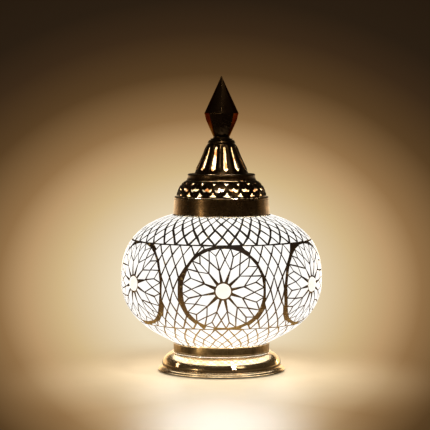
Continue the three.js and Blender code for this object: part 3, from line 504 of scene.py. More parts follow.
def grout_paste():
    """Golden-brown paste with a few brighter flecks, darkened towards the top of the globe as painted shade,
    with a faint painted glow low down.
    """
    g = material_graph("grout_paste")
    grit = g.noise(1300.0, 5.0, 0.7)
    level = g.map_range(g.split(g.place())["Z"], From_Min=GLOBE_BOTTOM * MM, From_Max=GLOBE_TOP * MM)
    # Painted shade: the paste's colour darkens towards the top of the globe, away from the light from below.
    base = g.ramp(level, (0.05, (0.7, 0.46, 0.16)), (0.3, (0.38, 0.22, 0.08)), (0.6, (0.14, 0.07, 0.025)),
                  (0.85, (0.03, 0.016, 0.007)))
    base = g.shade(base, 0.8, g.noise(70.0, 6.0, 0.6), (0.3, 0.35), (0.6, 1.0))
    flecked = g.mix("SCREEN", 0.6, base, (0.85, 0.62, 0.28, 1.0))
    base = g.mix("MIX", g.ramp(g.noise(230.0, 2.0), (0.62, 0.0), (0.68, 1.0)), base, flecked)
    base = g.shade(base, 0.5, grit, (0.3, 0.5), (0.6, 1.0))
    # Painted glow, strongest low down, for the bulb's light coming through round the glass pieces.
    painted_glow = g.ramp(level, (0.02, (0.42, 0.25, 0.07)), (0.3, (0.07, 0.035, 0.01)), (0.5, 0.0))
    return g.surface(Base_Color=base, Metallic=0.2, Roughness=g.ramp(grit, (0.3, 0.8), (0.7, 0.6)),
                     Emission_Color=painted_glow, Emission_Strength=0.8, Normal=g.bump(grit, 0.6, 0.25))


def plated_steel(name, bright, dark, metallic):
    g = material_graph(name)
    brushed = g.spun_noise(5.0, 900.0, 900.0, 3.0)
    return g.surface(Base_Color=g.ramp(g.noise(120.0, 5.0), (0.35, dark), (0.65, bright)), Metallic=metallic,
                     Roughness=g.ramp(brushed, (0.3, 0.24), (0.7, 0.42)), Normal=g.bump(brushed, 0.2, 0.03))


def moulded(name, dark, light, roughness, grain_scale=900.0):
    """Moulded plastic or rubber with a fine grain and slight handling marks."""
    g = material_graph(name)
    smudge = g.noise(70.0, 5.0)
    return g.surface(Base_Color=g.ramp(smudge, (0.3, dark), (0.7, light)),
                     Roughness=g.ramp(smudge, (0.3, roughness - 0.07), (0.7, roughness + 0.1)),
                     Normal=g.bump(g.noise(grain_scale), 0.25, 0.04))


def pressed_felt():
    g = material_graph("felt")
    tufts = g.ramp(g.noise(300.0), (0.3, (0.045, 0.02, 0.012)), (0.7, (0.1, 0.05, 0.03)))
    return g.surface(Base_Color=tufts, Roughness=0.95, Sheen_Weight=0.5,
                     Normal=g.bump(g.noise(1800.0, 6.0, 0.75), 0.8, 0.3))


def clear_glass():
    g = material_graph("clear_glass")
    seeds = g.noise(200.0, 3.0)
    return g.surface(Base_Color=(0.95, 0.93, 0.88, 1.0), Roughness=g.ramp(seeds, (0.4, 0.02), (0.7, 0.08)),
                     Transmission_Weight=0.85, IOR=1.5, Normal=g.bump(seeds, 0.1, 0.2))


ANTIQUE = antique_metal("antique_brass", (0.62, 0.42, 0.19), (0.26, 0.16, 0.065), 0.3)
FOOT_BRASS = antique_metal("polished_antique_brass", (0.86, 0.67, 0.42), (0.55, 0.38, 0.19), 0.13, 0.12, 0.2)
# The three crown copies below are the antique brass painted darker, as shade, since the globe's light does
# not reach the crown.
DARK_BRASS = antique_metal("dark_antique_brass", (0.15, 0.088, 0.038), (0.035, 0.02, 0.009), 0.24)
COLLAR_BRASS = antique_metal("collar_antique_brass", (0.26, 0.155, 0.065), (0.09, 0.052, 0.022), 0.2)
SHADED_CROWN_BRASS = antique_metal("crown_brass_painted_shade", (0.085, 0.05, 0.022), (0.018, 0.01, 0.005), 0.22)
DARK_BRONZE = antique_metal("dark_bronze", (0.075, 0.043, 0.02), (0.038, 0.022, 0.01), 0.18, 0.05, 0.3,
                            (0.44, 0.37, 0.28))
RAW_BRASS = raw_brass()
BRIGHT_BEAD = bright_bead()
TESSERA = lit_glass("lit_tessera", (1.0, 0.985, 0.95), 1.12, 4.0, 0.1)
BEAD = lit_glass("lit_bead", (1.0, 0.96, 0.86), 1.05, 3.0, 0.3)
OPAL = lit_glass("lit_bulb", (1.0, 0.88, 0.66), 6.0, 45.0, 0.0)
TESSERA_SIDE = glass_edge()
GROUT = grout_paste()
CORD = moulded("cord_sheath", (0.012, 0.011, 0.01), (0.03, 0.028, 0.025), 0.45, 700.0)
BLACK_PLASTIC = moulded("black_plastic", (0.012, 0.012, 0.012), (0.03, 0.03, 0.03), 0.38)

CAD_FINISH = {
    "antique_brass": ANTIQUE,
    "dark_bronze": DARK_BRONZE,
    "steel": plated_steel("zinc_steel", (0.72, 0.71, 0.68), (0.5, 0.5, 0.48), 0.55),
    "nickel": plated_steel("nickel", (0.8, 0.77, 0.72), (0.6, 0.57, 0.52), 1.0),
    "felt": pressed_felt(),
    "rubber": moulded("rubber", (0.015, 0.015, 0.015), (0.035, 0.034, 0.032), 0.7, 600.0),
    "cord_sheath": CORD,
    "porcelain": moulded("porcelain", (0.75, 0.73, 0.68), (0.86, 0.84, 0.8), 0.2, 300.0),
    "black_plastic": BLACK_PLASTIC,
    "clear_glass": clear_glass(),
    "opal_glass": OPAL,
    "grout": GROUT,
    "white_tesserae": TESSERA,
    "bead_glass": BEAD,
}


def paint_cad_nodes():
    for node, slot in SLOTS.items():
        materials = frame["nodes"][node].data.materials
        materials.clear()
        materials.append(CAD_FINISH[slot])


# ---------------------------------------------------------------- foot and collars

FOOT_HOLE = 31.0
FOOT_WALL = 0.6
FOOT_FLOOR_DROP = 12.3
STAR_HEIGHT = 9.0
STARS, FIRST_STAR = 6, 12
STAR_OUTER, STAR_INNER = 3.2, 1.45
CORD_HOLE = 3.5


def foot_rim(rim, low):
    """The stepped rim, from the underside up to the hollow above it."""
    return steps_from(rim, low, (-2.4, 0), (-0.3, 0), (0, 0.3), (0, 0.85), (-0.25, 1.1), (-0.8, 1.2),
                      (-0.8, 1.65), (-1.0, 1.9), (-1.6, 2.0), (-1.6, 2.4), (-1.9, 2.7))


def foot_bulge(rim, low, top):
    """The hollow above the rim and the bulge up to the neck."""
    flank = steps_from(rim, low, (-3.1, 2.95), (-3.95, 3.5), (-3.8, 4.4), (-3.55, 5.7), (-3.75, 7.1),
                       (-4.45, 9.0), (-5.6, 10.8), (-7.4, 12.5), (-9.5, 13.8))
    return smooth_run([*flank, (rim - 11.9, top)], 4)


def base_foot():
    rim, low, top = extent("base_foot")
    bulge = foot_bulge(rim, low, top)
    outline = foot_rim(rim, low) + bulge
    chart = Chart(bulge, STAR_HEIGHT)
    floor_z = top - FOOT_FLOOR_DROP
    under = [(r, z) for r, z in chart.behind(FOOT_WALL) if z > floor_z]
    profile = outline + [(FOOT_HOLE, top), (FOOT_HOLE, top - FOOT_WALL)] + under
    profile += [(under[-1][0], floor_z), (outline[0][0], floor_z)]
    raw = (len(outline) + 1, len(profile) - 1)
    obj = turned("spun_foot", profile, FOOT_BRASS, "base_foot", 192, inside=raw)
    cut_with(obj, star_and_cord_cutters(chart))


def star_outline(outer, inner):
    corners = [(inner if i % 2 else outer, math.pi / 2 + i * math.pi / 5) for i in range(10)]
    return [(radius * math.cos(t), radius * math.sin(t)) for radius, t in corners]


def star_and_cord_cutters(chart):
    builder = ([], [])
    for k in range(STARS):
        azimuth = math.radians(FIRST_STAR + 360 / STARS * k)
        prism_on(chart, azimuth, 0.0, star_outline(STAR_OUTER, STAR_INNER), -2.5, 2.0, builder)
    hole = [(CORD_HOLE * math.cos(t), CORD_HOLE * math.sin(t)) for t in turns(32)]
    prism_on(chart, math.pi, chart.length_at(centre_of("cable_grommet")[2]), hole, -3.0, 3.0, builder)
    return builder


def neck_ring():
    radius, low, high = extent("neck_ring")
    edge = (high - low) / 2 - 0.02
    middle = radius + 0.4 - edge
    profile = [(FOOT_HOLE, low), (middle, low)]
    profile += arc(middle, low + edge, edge, -90, 0, 6)
    profile += arc(middle, high - edge, edge, 0, 90, 6)
    turned("bead_ring", profile + [(FOOT_HOLE, high)], BRIGHT_BEAD, "neck_ring", 160)


def lower_collar():
    radius, low, high = extent("lower_collar")
    profile = [(FOOT_HOLE, low), (radius - 0.35, low)]
    profile += arc(radius - 0.35, low + 0.35, 0.35, -90, 0, 3)
    groove = radius - 0.2
    profile += [(radius, low + 1.0), (groove, low + 1.2), (groove, low + 1.45), (radius, low + 1.65)]
    profile += arc(radius - 0.4, high - 0.4, 0.4, 0, 90, 3)
    profile += [(radius - 1.0, high), (radius - 1.0, low + 1.0), (FOOT_HOLE, low + 1.0)]
    turned("lower_collar_band", profile, ANTIQUE, "lower_collar", 160, seamed=True)


# ---------------------------------------------------------------- crown

COLLAR_OPENING = 33.0
COLLAR_TAPER = 0.9


def upper_collar():
    radius, low, high = extent("upper_collar")
    top_radius = radius - COLLAR_TAPER
    profile = steps_from(radius, low, (-1.0, 0.2), (-0.7, 0), (-0.2, 0), (0, 0.25), (-0.06, 1.4))
    profile += steps_from(top_radius, high, (0.05, -2.3), (-0.25, -2.05), (-0.25, -1.75), (0.02, -1.5))
    profile += arc(top_radius - 0.8, high - 0.8, 0.8, 0, 90, 5)
    profile += [(COLLAR_OPENING, high), (COLLAR_OPENING, high - 1.0), (top_radius - 1.0, high - 1.0)]
    turned("upper_collar_band", profile, COLLAR_BRASS, "upper_collar", 160, seamed=True,
           inside=(len(profile) - 3, len(profile) - 1))


DOME_BASE, DOME_OPENING, DOME_WALL = 38.0, 24.0, 0.55
DOME_REPEATS = 20
DOME_PITCH = 360 / DOME_REPEATS
DOME_RIM, DOME_RIM_LIFT = 0.34, 0.05
BELL_AZIMUTH, WING_AZIMUTH = 7, -2
BELL = [(-3.1, 0.0), (-1.6, -0.4), (0.0, -0.5), (1.6, -0.4), (3.1, 0.0), (2.0, 0.8), (1.1, 1.5), (0.7, 2.7),
        (0.0, 3.6), (-0.7, 2.7), (-1.1, 1.5), (-2.0, 0.8)]
WING = [(-4.1, 3.0), (-3.9, 1.5), (-2.5, 0.2), (-0.9, 0.0), (0.0, 0.8), (1.2, -0.4), (3.0, -0.5), (4.1, 0.7),
        (4.2, 2.7), (2.8, 2.1), (1.4, 2.5), (0.4, 4.0), (-0.7, 2.9), (-2.1, 2.2), (-3.1, 2.5)]
NOTCH = [(-2.4, 2.6), (-1.3, 1.9), (-0.7, 0.6), (0.0, -0.5), (0.7, 0.6), (1.3, 1.9), (2.4, 2.6), (1.0, 3.0),
         (0.0, 2.6), (-1.0, 3.0)]
OPENINGS = ((BELL_AZIMUTH, 1.5, BELL, 1.2), (WING_AZIMUTH, 5.4, WING, 1.6), (BELL_AZIMUTH, 11.2, NOTCH, 1.4))
STUDS = ((WING_AZIMUTH, 2.6, 0.75), (WING_AZIMUTH, 12.0, 0.7), (BELL_AZIMUTH, 9.0, 0.6))


def dome_outline():
    low = extent("pierced_dome")[1]
    return smooth_run(steps_from(DOME_BASE, low, (0, 0), (-0.2, 1.2), (-0.7, 3.3), (-1.5, 5.6), (-2.8, 8.2),
                                 (-4.8, 10.7), (-6.6, 12.3), (-8.3, 13.65)), 4)


def pressed_unevenly(outline, middle_y):
    """An opening as a worn punch leaves it: larger or smaller, turned a little, now and then mirrored."""
    size = rng.uniform(0.92, 1.16)
    flip = rng.choice((-1, 1))
    turn = math.radians(rng.uniform(-11, 11))
    cos, sin = math.cos(turn), math.sin(turn)
    moved = []
    for x, y in outline[::flip]:
        x, y = size * flip * x, size * (y - middle_y)
        moved.append((x * cos - y * sin, x * sin + y * cos + middle_y))
    return moved


def pierced_dome():
    outline = dome_outline()
    _, low, top = extent("pierced_dome")
    chart = Chart(outline, low + 6.0)
    inner = [(r, max(z, low)) for r, z in chart.behind(DOME_WALL)]
    profile = outline + [(DOME_OPENING, top), (DOME_OPENING, top - DOME_WALL)] + inner
    obj = turned("filigree_dome", profile, SHADED_CROWN_BRASS, "pierced_dome", 200,
                 inside=(len(outline) + 1, len(profile) - 2))
    cutters, relief = ([], []), ([], [])
    foot = chart.length[0]
    for k in range(DOME_REPEATS):
        for first, height, outline, middle_y in OPENINGS:
            azimuth = math.radians(first + DOME_PITCH * k)
            place = (chart, azimuth, foot + height, pressed_unevenly(outline, middle_y))
            prism_on(*place, -2.0, 1.5, cutters)
            rim_on(*place, DOME_RIM, relief, DOME_RIM_LIFT)
    for k in range(DOME_REPEATS):
        for first, height, radius in STUDS:
            stud_on(chart, math.radians(first + DOME_PITCH * k), foot + height, radius, relief)
    cut_with(obj, cutters)
    piece("filigree_relief", *relief, SHADED_CROWN_BRASS, "pierced_dome", extra=True)


RING_OPENING = 20.5


def crown_ring():
    radius, low, high = extent("crown_ring")
    profile = [(radius - 1.2, low), (radius - 0.2, low), (radius, low + 0.25)]
    profile += smooth_run([(radius, low + 0.4), (radius - 0.5, low + 1.3), (radius - 0.7, low + 2.6)], 4)
    profile += arc(radius - 1.9, high - 1.2, 1.2, 0, 90, 6)
    profile += [(RING_OPENING, high), (RING_OPENING, high - 0.9), (radius - 2.0, high - 1.1),
                (radius - 1.8, low + 1.2)]
    turned("crown_ring_band", profile, DARK_BRASS, "crown_ring")


CONE_SLOTS, FIRST_SLOT = 12, 10
SLOT_START, SLOT_LENGTH, SLOT_FOOT, SLOT_HEAD = 2.5, 23.0, 4.5, 2.2
SLOT_RIM, SLOT_RIM_LIFT = 0.4, 0.1
CONE_HEAD, CONE_WALL = 10.7, 0.9
ROD_HOLE = 3.4
RIB_HEIGHT, RIB_RUN_OUT = 0.9, 2.5
CONE_FOOT, CONE_LOW, CONE_HIGH = extent("slotted_cone")
RIB_LOW, RIB_HIGH = CONE_LOW + 2.0, CONE_HIGH - 3.6


def slot_outline(height, foot_width, head_width):
    """A blade-shaped slot: a pointed foot, its widest part just above, sides leaning in to a narrow head."""
    foot, head = foot_width / 2, head_width / 2
    right = [(0.0, 0.0), (foot * 0.5, 0.9), (foot * 0.88, 2.1), (foot, 3.2), (foot * 0.93, 5.0),
             (head + (foot - head) * 0.5, height * 0.5), (head + (foot - head) * 0.18, height * 0.78),
             (head, height - 1.0), (head * 0.6, height - 0.2)]
    return right + [(-x, y) for x, y in right[:0:-1]]


def rib(azimuth, radius, z):
    """Broad raised ribs that stand between the slots."""
    if radius < CONE_HEAD or not RIB_LOW < z < RIB_HIGH:
        return 0.0
    swell = max(0.0, -math.cos(math.radians(CONE_SLOTS * (azimuth - FIRST_SLOT))))
    ends = min(1.0, (z - RIB_LOW) / RIB_RUN_OUT, (RIB_HIGH - z) / RIB_RUN_OUT)
    return RIB_HEIGHT * math.sqrt(swell) * ends


def slotted_cone():
    foot, low, high = CONE_FOOT, CONE_LOW, CONE_HIGH
    flank = steps_from(foot, low, (-0.1, 0), (0, 0.4), (-0.5, 1.4), (-3.4, 7.0), (-7.1, 15.0), (-10.2, 23.0))
    outline = smooth_run([*flank, (CONE_HEAD + 0.9, high - 3.2)], 3)
    head = steps_from(CONE_HEAD, high, (1.15, -2.9), (1.15, -2.3), (0.7, -1.9), (0.35, -0.9), (-0.2, -0.25),
                      (-1.0, 0))
    inner = [(r - CONE_WALL, z - 0.3) for r, z in outline[:2:-2]]
    profile = outline + head + [(ROD_HOLE, high), (ROD_HOLE, high - 1.0), (CONE_HEAD - 1.0, high - 1.0)]
    profile += inner + [(foot - 1.4, low)]
    obj = turned("ribbed_cone", profile, SHADED_CROWN_BRASS, "slotted_cone", 240, relief=rib,
                 inside=(len(profile) - len(inner) - 3, len(profile) - 2))
    chart = Chart(outline, low)
    cutters, rims = ([], []), ([], [])
    for k in range(CONE_SLOTS):
        azimuth = math.radians(FIRST_SLOT + 360 / CONE_SLOTS * k)
        place = (chart, azimuth, SLOT_START, slot_outline(SLOT_LENGTH, SLOT_FOOT, SLOT_HEAD))
        prism_on(*place, -3.0, 2.0, cutters)
        rim_on(*place, SLOT_RIM, rims, SLOT_RIM_LIFT)
    cut_with(obj, cutters)
    piece("cone_slot_rims", *rims, SHADED_CROWN_BRASS, "slotted_cone", extra=True)


def crown_neck():
    radius, low, high = extent("crown_neck")
    profile = [(ROD_HOLE, low), (radius - 0.5, low)]
    profile += arc(radius - 0.5, low + 0.5, 0.5, -90, 90, 6)
    profile += smooth_run([(radius - 1.9, low + 1.15), (radius - 2.5, low + 1.7), (radius - 2.6, high)], 3)
    turned("turned_neck", profile + [(ROD_HOLE, high)], SHADED_CROWN_BRASS, "crown_neck", 96)


FACETS = 8
FINIAL_WIDEST = 19.6
EDGE_SOFTNESS = 0.015
BORE_RADIUS, BORE_DEPTH, BORE_TIP = 3.7, 9.0, 9.4


def finial():
    """Eight-sided spear: each facet is a flat plate with softened edges, an edge facing front."""
    radius, low, tip = extent("finial")
    widest = low + FINIAL_WIDEST
    sections = [(low, 6.9), (low + 0.4, 7.2), (widest - 5.8, radius - 1.45), (widest - 0.6, radius - 0.2),
                (widest - 0.15, radius - 0.02), (widest + 0.15, radius - 0.02), (widest + 0.6, radius - 0.27),
                (tip - 2.2, 1.1), (tip - 0.7, 0.75)]
    count = 2 * FACETS
    verts = []
    for z, reach in sections:
        half_edge = EDGE_SOFTNESS / reach
        verts += [around(t + side * half_edge, reach, z) for t in turns(FACETS) for side in (-1, 1)]
    verts.append((0, 0, tip))
    faces = skin(0, count, len(sections)) + fan(len(verts) - 1 - count, count, len(verts) - 1)
    start = len(verts)
    for depth in (0.0, BORE_DEPTH):
        verts += [around(t, BORE_RADIUS, low + depth) for t in turns(count)]
    verts.append((0, 0, low + BORE_TIP))
    for i in range(count):
        j = (i + 1) % count
        faces.append([start + i, start + j, j, i])
        faces.append([start + count + i, start + count + j, start + j, start + i])
        faces.append([len(verts) - 1, start + count + j, start + count + i])
    piece("spear_finial", verts, faces, DARK_BRONZE, "finial", sharp_angle=20)


# ---------------------------------------------------------------- globe and mosaic

def globe_radius(z):
    """The mosaic's outer radius at a height: two half superellipses, the lower one running out straight."""
    upper = z >= EQUATOR
    power = UPPER_POWER if upper else LOWER_POWER
    half = UPPER_HALF if upper else LOWER_HALF
    drop = abs(z - EQUATOR)
    level = drop if upper else min(drop, STRAIGHT_BELOW)
    radius = GLOBE_RADIUS * (1 - (level / half) ** power) ** (1 / power)
    steepness = (level / half / (radius / GLOBE_RADIUS)) ** (power - 1) * GLOBE_RADIUS / half
    return radius - steepness * (drop - level)


def globe_chart(steps=1200):
    heights = [GLOBE_BOTTOM + (GLOBE_TOP - GLOBE_BOTTOM) * i / steps for i in range(steps + 1)]
    return Chart([(globe_radius(z), z) for z in heights], EQUATOR)


GLOBE = globe_chart()
LOW_S, HIGH_S = float(GLOBE.length[0]), float(GLOBE.length[-1])
LINE_LOW_S, LINE_HIGH_S = GLOBE.length_at(LOWER_LINE), GLOBE.length_at(UPPER_LINE)


def area(points):
    return sum(points[i - 1][0] * y - x * points[i - 1][1] for i, (x, y) in enumerate(points)) / 2


def middle_of(points):
    return tuple(sum(values) / len(points) for values in zip(*points))


def cut_back(points, nx, ny, distance):
    """The part of a convex outline lying at least distance out along the direction (nx, ny)."""
    kept = []
    for i, (x, y) in enumerate(points):
        px, py = points[i - 1]
        before = px * nx + py * ny - distance
        here = x * nx + y * ny - distance
        if (before < 0) != (here < 0):
            t = before / (before - here)
            kept.append((px + (x - px) * t, py + (y - py) * t))
        if here >= 0:
            kept.append((x, y))
    return kept


def without_short_edges(points, least=1.0):
    kept = []
    for point in points:
        if not kept or math.dist(point, kept[-1]) >= least:
            kept.append(point)
    while len(kept) > 2 and math.dist(kept[0], kept[-1]) < least:
        kept.pop()
    return kept


def inset(points, distance, uneven, skew):
    """A convex outline, counter-clockwise, its edges moved inwards and turned a little, as cut by hand."""
    moved = points
    for i, (x, y) in enumerate(points):
        px, py = points[i - 1]
        if math.dist((x, y), (px, py)) < 1e-6 or len(moved) < 3:
            continue
        turn = math.atan2(x - px, py - y) + rng.uniform(-skew, skew)
        nx, ny = math.cos(turn), math.sin(turn)
        middle = (px + x) / 2 * nx + (py + y) / 2 * ny
        moved = cut_back(moved, nx, ny, middle + distance + rng.uniform(-uneven, uneven))
    return moved


def softened(points, distance):
    """The same outline with each corner drawn in towards the middle of the piece."""
    moved = []
    for i, (x, y) in enumerate(points):
        inward = Vector((0.0, 0.0))
        for ox, oy in (points[i - 1], points[(i + 1) % len(points)]):
            inward += Vector((ox - x, oy - y)).normalized()
        if inward.length < 1e-3:
            inward = Vector((-x, -y))
        inward.normalize()
        moved.append((x + inward.x * distance, y + inward.y * distance))
    return moved


def divided(points, counts):
    """An outline with each edge divided into its own count of steps."""
    return [(x + (nx - x) * k / count, y + (ny - y) * k / count)
            for (x, y), (nx, ny), count in zip(points, points[1:] + points[:1], counts) for k in range(count)]


class Mosaic:
    """Collects glass pieces laid on the globe into one mesh."""

    SOFT_EDGE = 0.39
    SINK = -1.5
    SHOULDER = -0.12
    LONGEST_EDGE = 3.4
    LEAST_AREA = 4.6
    # Painted shade: each piece's glow is dimmed towards its rim, for a pillowed look.
    PAINTED_RIM_SHADE = (0.7, 0.74, 0.95, 1.0)

    def __init__(self):
        self.verts, self.faces, self.kinds, self.tints = [], [], [], []

    def add(self, corners, joint, uneven=0.12, skew=0.04, wobble=0.12):
        """corners are (azimuth, s) places on the globe, in any order round."""
        azimuth, s = middle_of(corners)
        flat = [((a - azimuth) * GLOBE.radius(t), t - s) for a, t in corners]
        flat = [(x + rng.uniform(-wobble, wobble), y + rng.uniform(-wobble, wobble)) for x, y in flat]
        if area(flat) < 0:
            flat.reverse()
        outer = without_short_edges(inset(flat, joint, uneven, skew))
        if len(outer) < 3 or area(outer) < self.LEAST_AREA:
            return
        inner = softened(outer, self.SOFT_EDGE)
        edges = zip(outer, outer[1:] + outer[:1])
        counts = [max(1, round(math.dist(a, b) / self.LONGEST_EDGE)) for a, b in edges]
        centre = middle_of(inner)
        edge, face = divided(outer, counts), divided(inner, counts)
        waist = [((x + centre[0]) / 2, (y + centre[1]) / 2) for x, y in face]
        self.build(azimuth, s, [(edge, self.SINK), (edge, self.SHOULDER), (face, 0.0), (waist, 0.1)], centre)

    def build(self, azimuth, s, rings, centre):
        start, count = len(self.verts), len(rings[0][0])
        tilt_x, tilt_y = rng.uniform(-0.012, 0.012), rng.uniform(-0.012, 0.012)
        tint = rng.uniform(0.93, 1.0)
        for (outline, height), shade in zip(rings, self.PAINTED_RIM_SHADE):
            for x, y in outline:
                lean = 0.0 if height == self.SINK else x * tilt_x + y * tilt_y
                self.verts.append(GLOBE.place(azimuth, s, x, y, height + lean))
                self.tints.append(tint * shade)
        self.verts.append(GLOBE.place(azimuth, s, *centre, 0.14))
        self.tints.append(tint)
        self.faces += domed(start, count, len(rings))
        self.kinds += [1] * count + [0] * count * (len(rings) - 1) + [1]

    def finish(self, name, node):
        piece(name, self.verts, self.faces, [TESSERA, TESSERA_SIDE], node, tints=self.tints, kinds=self.kinds,
              sharp_angle=50)


FLOWERS = 6
PETALS = 12
PETAL_PITCH = 360 / PETALS
PETAL_PHASE = 5.0
ROOT_REACH, ROOT_SPREAD = 6.95, 8.5
JOINT_REACH, TIP_REACH, GAP_REACH, CIRCLE_REACH = 17.0, 25.2, 28.6, 34.3
RIM_SPREAD, RIM_SWAY = 7.0, 1.2
CIRCLE_CLEARANCE = 1.7
FLOWER_STRETCH = 1.045
FLOWER_CUT = dict(joint=0.5, skew=0.035, wobble=0.1)
FLOWER_DRIFT = ((1.2, -0.3), (2.4, 0.9), (-0.7, 0.3), (0.6, -0.4), (0.9, 0.5), (1.4, 1.9))


class Flower:
    """A round flower laid by hand: its middle, and the places its pieces meet."""

    def __init__(self, k):
        right, self.lift = FLOWER_DRIFT[k]
        self.azimuth = math.radians(360 / FLOWERS * k) + right / GLOBE_RADIUS
        self.wave = rng.uniform(0, 2 * math.pi)
        phase = PETAL_PHASE + rng.uniform(-3, 3)
        self.tips = [self.loose(phase + PETAL_PITCH * i, 2.4, TIP_REACH, 0.9) for i in range(PETALS)]
        self.joints = [self.between(i, 1.5, JOINT_REACH, 1.0) for i in range(PETALS)]
        self.gaps = [self.between(i, 2.0, GAP_REACH, 0.9) for i in range(PETALS)]
        self.before, self.after = (
            [(t + side * RIM_SPREAD + rng.uniform(-RIM_SWAY, RIM_SWAY), CIRCLE_REACH) for t, _ in self.tips]
            for side in (-1, 1))

    @staticmethod
    def loose(turn, sway, reach, give):
        return turn + rng.uniform(-sway, sway), reach + rng.uniform(-give, give)

    def between(self, i, sway, reach, give):
        turn = self.tips[i][0] + (self.tips[(i + 1) % PETALS][0] - self.tips[i][0]) % 360 / 2
        return self.loose(turn, sway, reach, give)

    def place(self, spot):
        """Azimuth and s of a spot given by its clockwise turn from the top and its reach."""
        turn, reach = math.radians(spot[0]), spot[1]
        s = self.lift + reach * math.cos(turn) * FLOWER_STRETCH
        return self.azimuth + reach * math.sin(turn) / GLOBE.radius(s), s

    def lay(self, mosaic):
        for i, tip in enumerate(self.tips):
            j = (i + 1) % PETALS
            joint, gap, before, after = self.joints[i], self.gaps[i], self.before[i], self.after[i]
            roots = [(tip[0] + side * ROOT_SPREAD, ROOT_REACH) for side in (-1, 1)]
            petal = [roots[0], self.joints[i - 1], tip, joint, roots[1]]
            right = [joint, tip, after, gap]
            left = [joint, self.tips[j], self.before[j], gap]
            over_tip = [tip, before, after]
            over_gap = [gap, after, self.before[j]]
            for spots in (petal, right, left, over_tip, over_gap):
                mosaic.add([self.place(spot) for spot in spots], **FLOWER_CUT)

    def circle(self, turn):
        """Reach of the net's hand-cut edge round the flower."""
        waves = 1.2 * math.sin(3 * turn + self.wave) + 0.7 * math.sin(7 * turn - self.wave)
        return CIRCLE_REACH + CIRCLE_CLEARANCE + waves

    def trim(self, corners):
        """A net piece cut back to the flower's circle."""
        away = [(a - self.azimuth + math.pi) % (2 * math.pi) - math.pi for a, _ in corners]
        flat = [(a * GLOBE.radius(s), (s - self.lift) / FLOWER_STRETCH) for a, (_, s) in zip(away, corners)]
        x, y = middle_of(flat)
        distance = math.hypot(x, y)
        kept = cut_back(flat, x / distance, y / distance, self.circle(math.atan2(x, y)))
        spots = [(px, py * FLOWER_STRETCH + self.lift) for px, py in kept]
        return [(self.azimuth + px / GLOBE.radius(s), s) for px, s in spots]


def rosette_bead(flower, name, node):
    """A domed glass bead with a ripple in its face, set in the flower's middle."""
    radius, sides = 6.2, 40
    rings = [(1.0, -1.6), (1.0, -0.1), (0.975, 0.35), (0.9, 0.85), (0.78, 1.2), (0.6, 1.5), (0.4, 1.72),
             (0.2, 1.84)]
    verts = []
    for reach, height in rings:
        for t in turns(sides):
            out = radius * reach * (1 + 0.015 * math.sin(5 * t + flower.wave) * (height > 0))
            x, y = out * math.cos(t), out * math.sin(t)
            verts.append(GLOBE.place(flower.azimuth, flower.lift, x, y, height))
    verts.append(GLOBE.point(flower.azimuth, flower.lift, 1.88))
    piece(name, verts, domed(0, sides, len(rings)), BEAD, node, tints=[1.0] * len(verts))


NET_ROWS = 4
NET_REACH = 25.5
FIRST_ROW_SHARE = 0.27
NET_JOINT = 0.58


def net_pitch(row):
    """Degrees between the net's nodes, rows counted from the equator."""
    return 4.6 + 2.7 * math.sin(math.radians(22.5 * abs(row)))


def net_height(row):
    """Place of a row up the globe: the rows next to the equator stand a little further apart."""
    edge = LINE_HIGH_S if row > 0 else -LINE_LOW_S
    rows = abs(row)
    share = FIRST_ROW_SHARE * rows if rows < 2 else 1 - (NET_ROWS - rows) * (1 - FIRST_ROW_SHARE) / 3
    return math.copysign(edge * share, row)


def diamond(at, row, column, half, lowest, highest):
    """Corners round a node of a net: left, top, right and bottom, less those beyond the last rows."""
    corners = [at(row, column - half), at(row, column + half)]
    if row < highest:
        corners.insert(1, at(row + 1, column))
    if row > lowest:
        corners.append(at(row - 1, column))
    return corners


def net(middle, flowers, name, node):
    """A net of tall diamonds between two flowers, its nodes closest together at the waist."""
    mosaic = Mosaic()

    def at(row, column):
        return math.radians(middle + column * net_pitch(row)), net_height(row)

    for row in range(-NET_ROWS, NET_ROWS + 1):
        for step in range(-5, 6):
            column = step + row % 2 / 2
            if abs(column * net_pitch(row)) > NET_REACH:
                continue
            corners = diamond(at, row, column, 0.5, -NET_ROWS, NET_ROWS)
            for flower in flowers:
                corners = flower.trim(corners) if corners else corners
            if len(corners) > 2:
                mosaic.add(corners, NET_JOINT)
    mosaic.finish(name, node)


def band(levels, columns, joints, name, node):
    """Rows of diamonds between a line and an opening, each row half a column on from the last."""
    mosaic = Mosaic()
    last = len(levels) - 1
    jitter = {}

    def at(row, half_column):
        key = (row, half_column % (2 * columns))
        if key not in jitter:
            loose = 0 if row in (0, last) else 0.8
            jitter[key] = (rng.uniform(-0.8, 0.8), rng.uniform(-loose, loose))
        dx, dy = jitter[key]
        s = levels[row] + dy
        return half_column * math.pi / columns + dx / GLOBE.radius(s), s

    for row, joint in enumerate(joints):
        for k in range(columns):
            mosaic.add(diamond(at, row, 2 * k + row % 2, 1, 0, last), joint, 0.22, 0.06, 0.15)
    mosaic.finish(name, node)


def grout_shell():
    """The paste between and behind the glass pieces, its face a little below theirs."""
    sink, thickness = 0.34, 1.6
    columns, rows, inner_step = 360, 150, 10
    rough = random.Random(4)
    verts = []
    for row in range(rows + 1):
        s = LOW_S + (HIGH_S - LOW_S) * row / rows
        verts += [GLOBE.point(t, s, rough.uniform(-0.1, 0.08) - sink) for t in turns(columns)]
    for row in range(rows, -1, -inner_step):
        s = LOW_S + (HIGH_S - LOW_S) * row / rows
        verts += [GLOBE.point(t, s, -sink - thickness) for t in turns(columns)]
    faces = skin(0, columns, len(verts) // columns, looped=True)
    piece("grout_shell", verts, faces, GROUT, "grout_layer")


UPPER_COLUMNS, LOWER_COLUMNS = 42, 38
UPPER_ROWS_Z, UPPER_JOINTS = (118.6, 123.9, 128.1, 130.9), (0.8, 0.95, 0.85, 0.75, 0.66, 0.6)
LOWER_ROWS_Z, LOWER_JOINTS = (37.5, 32.4, 28.3), (0.6, 0.62, 0.6, 0.58, 0.55)


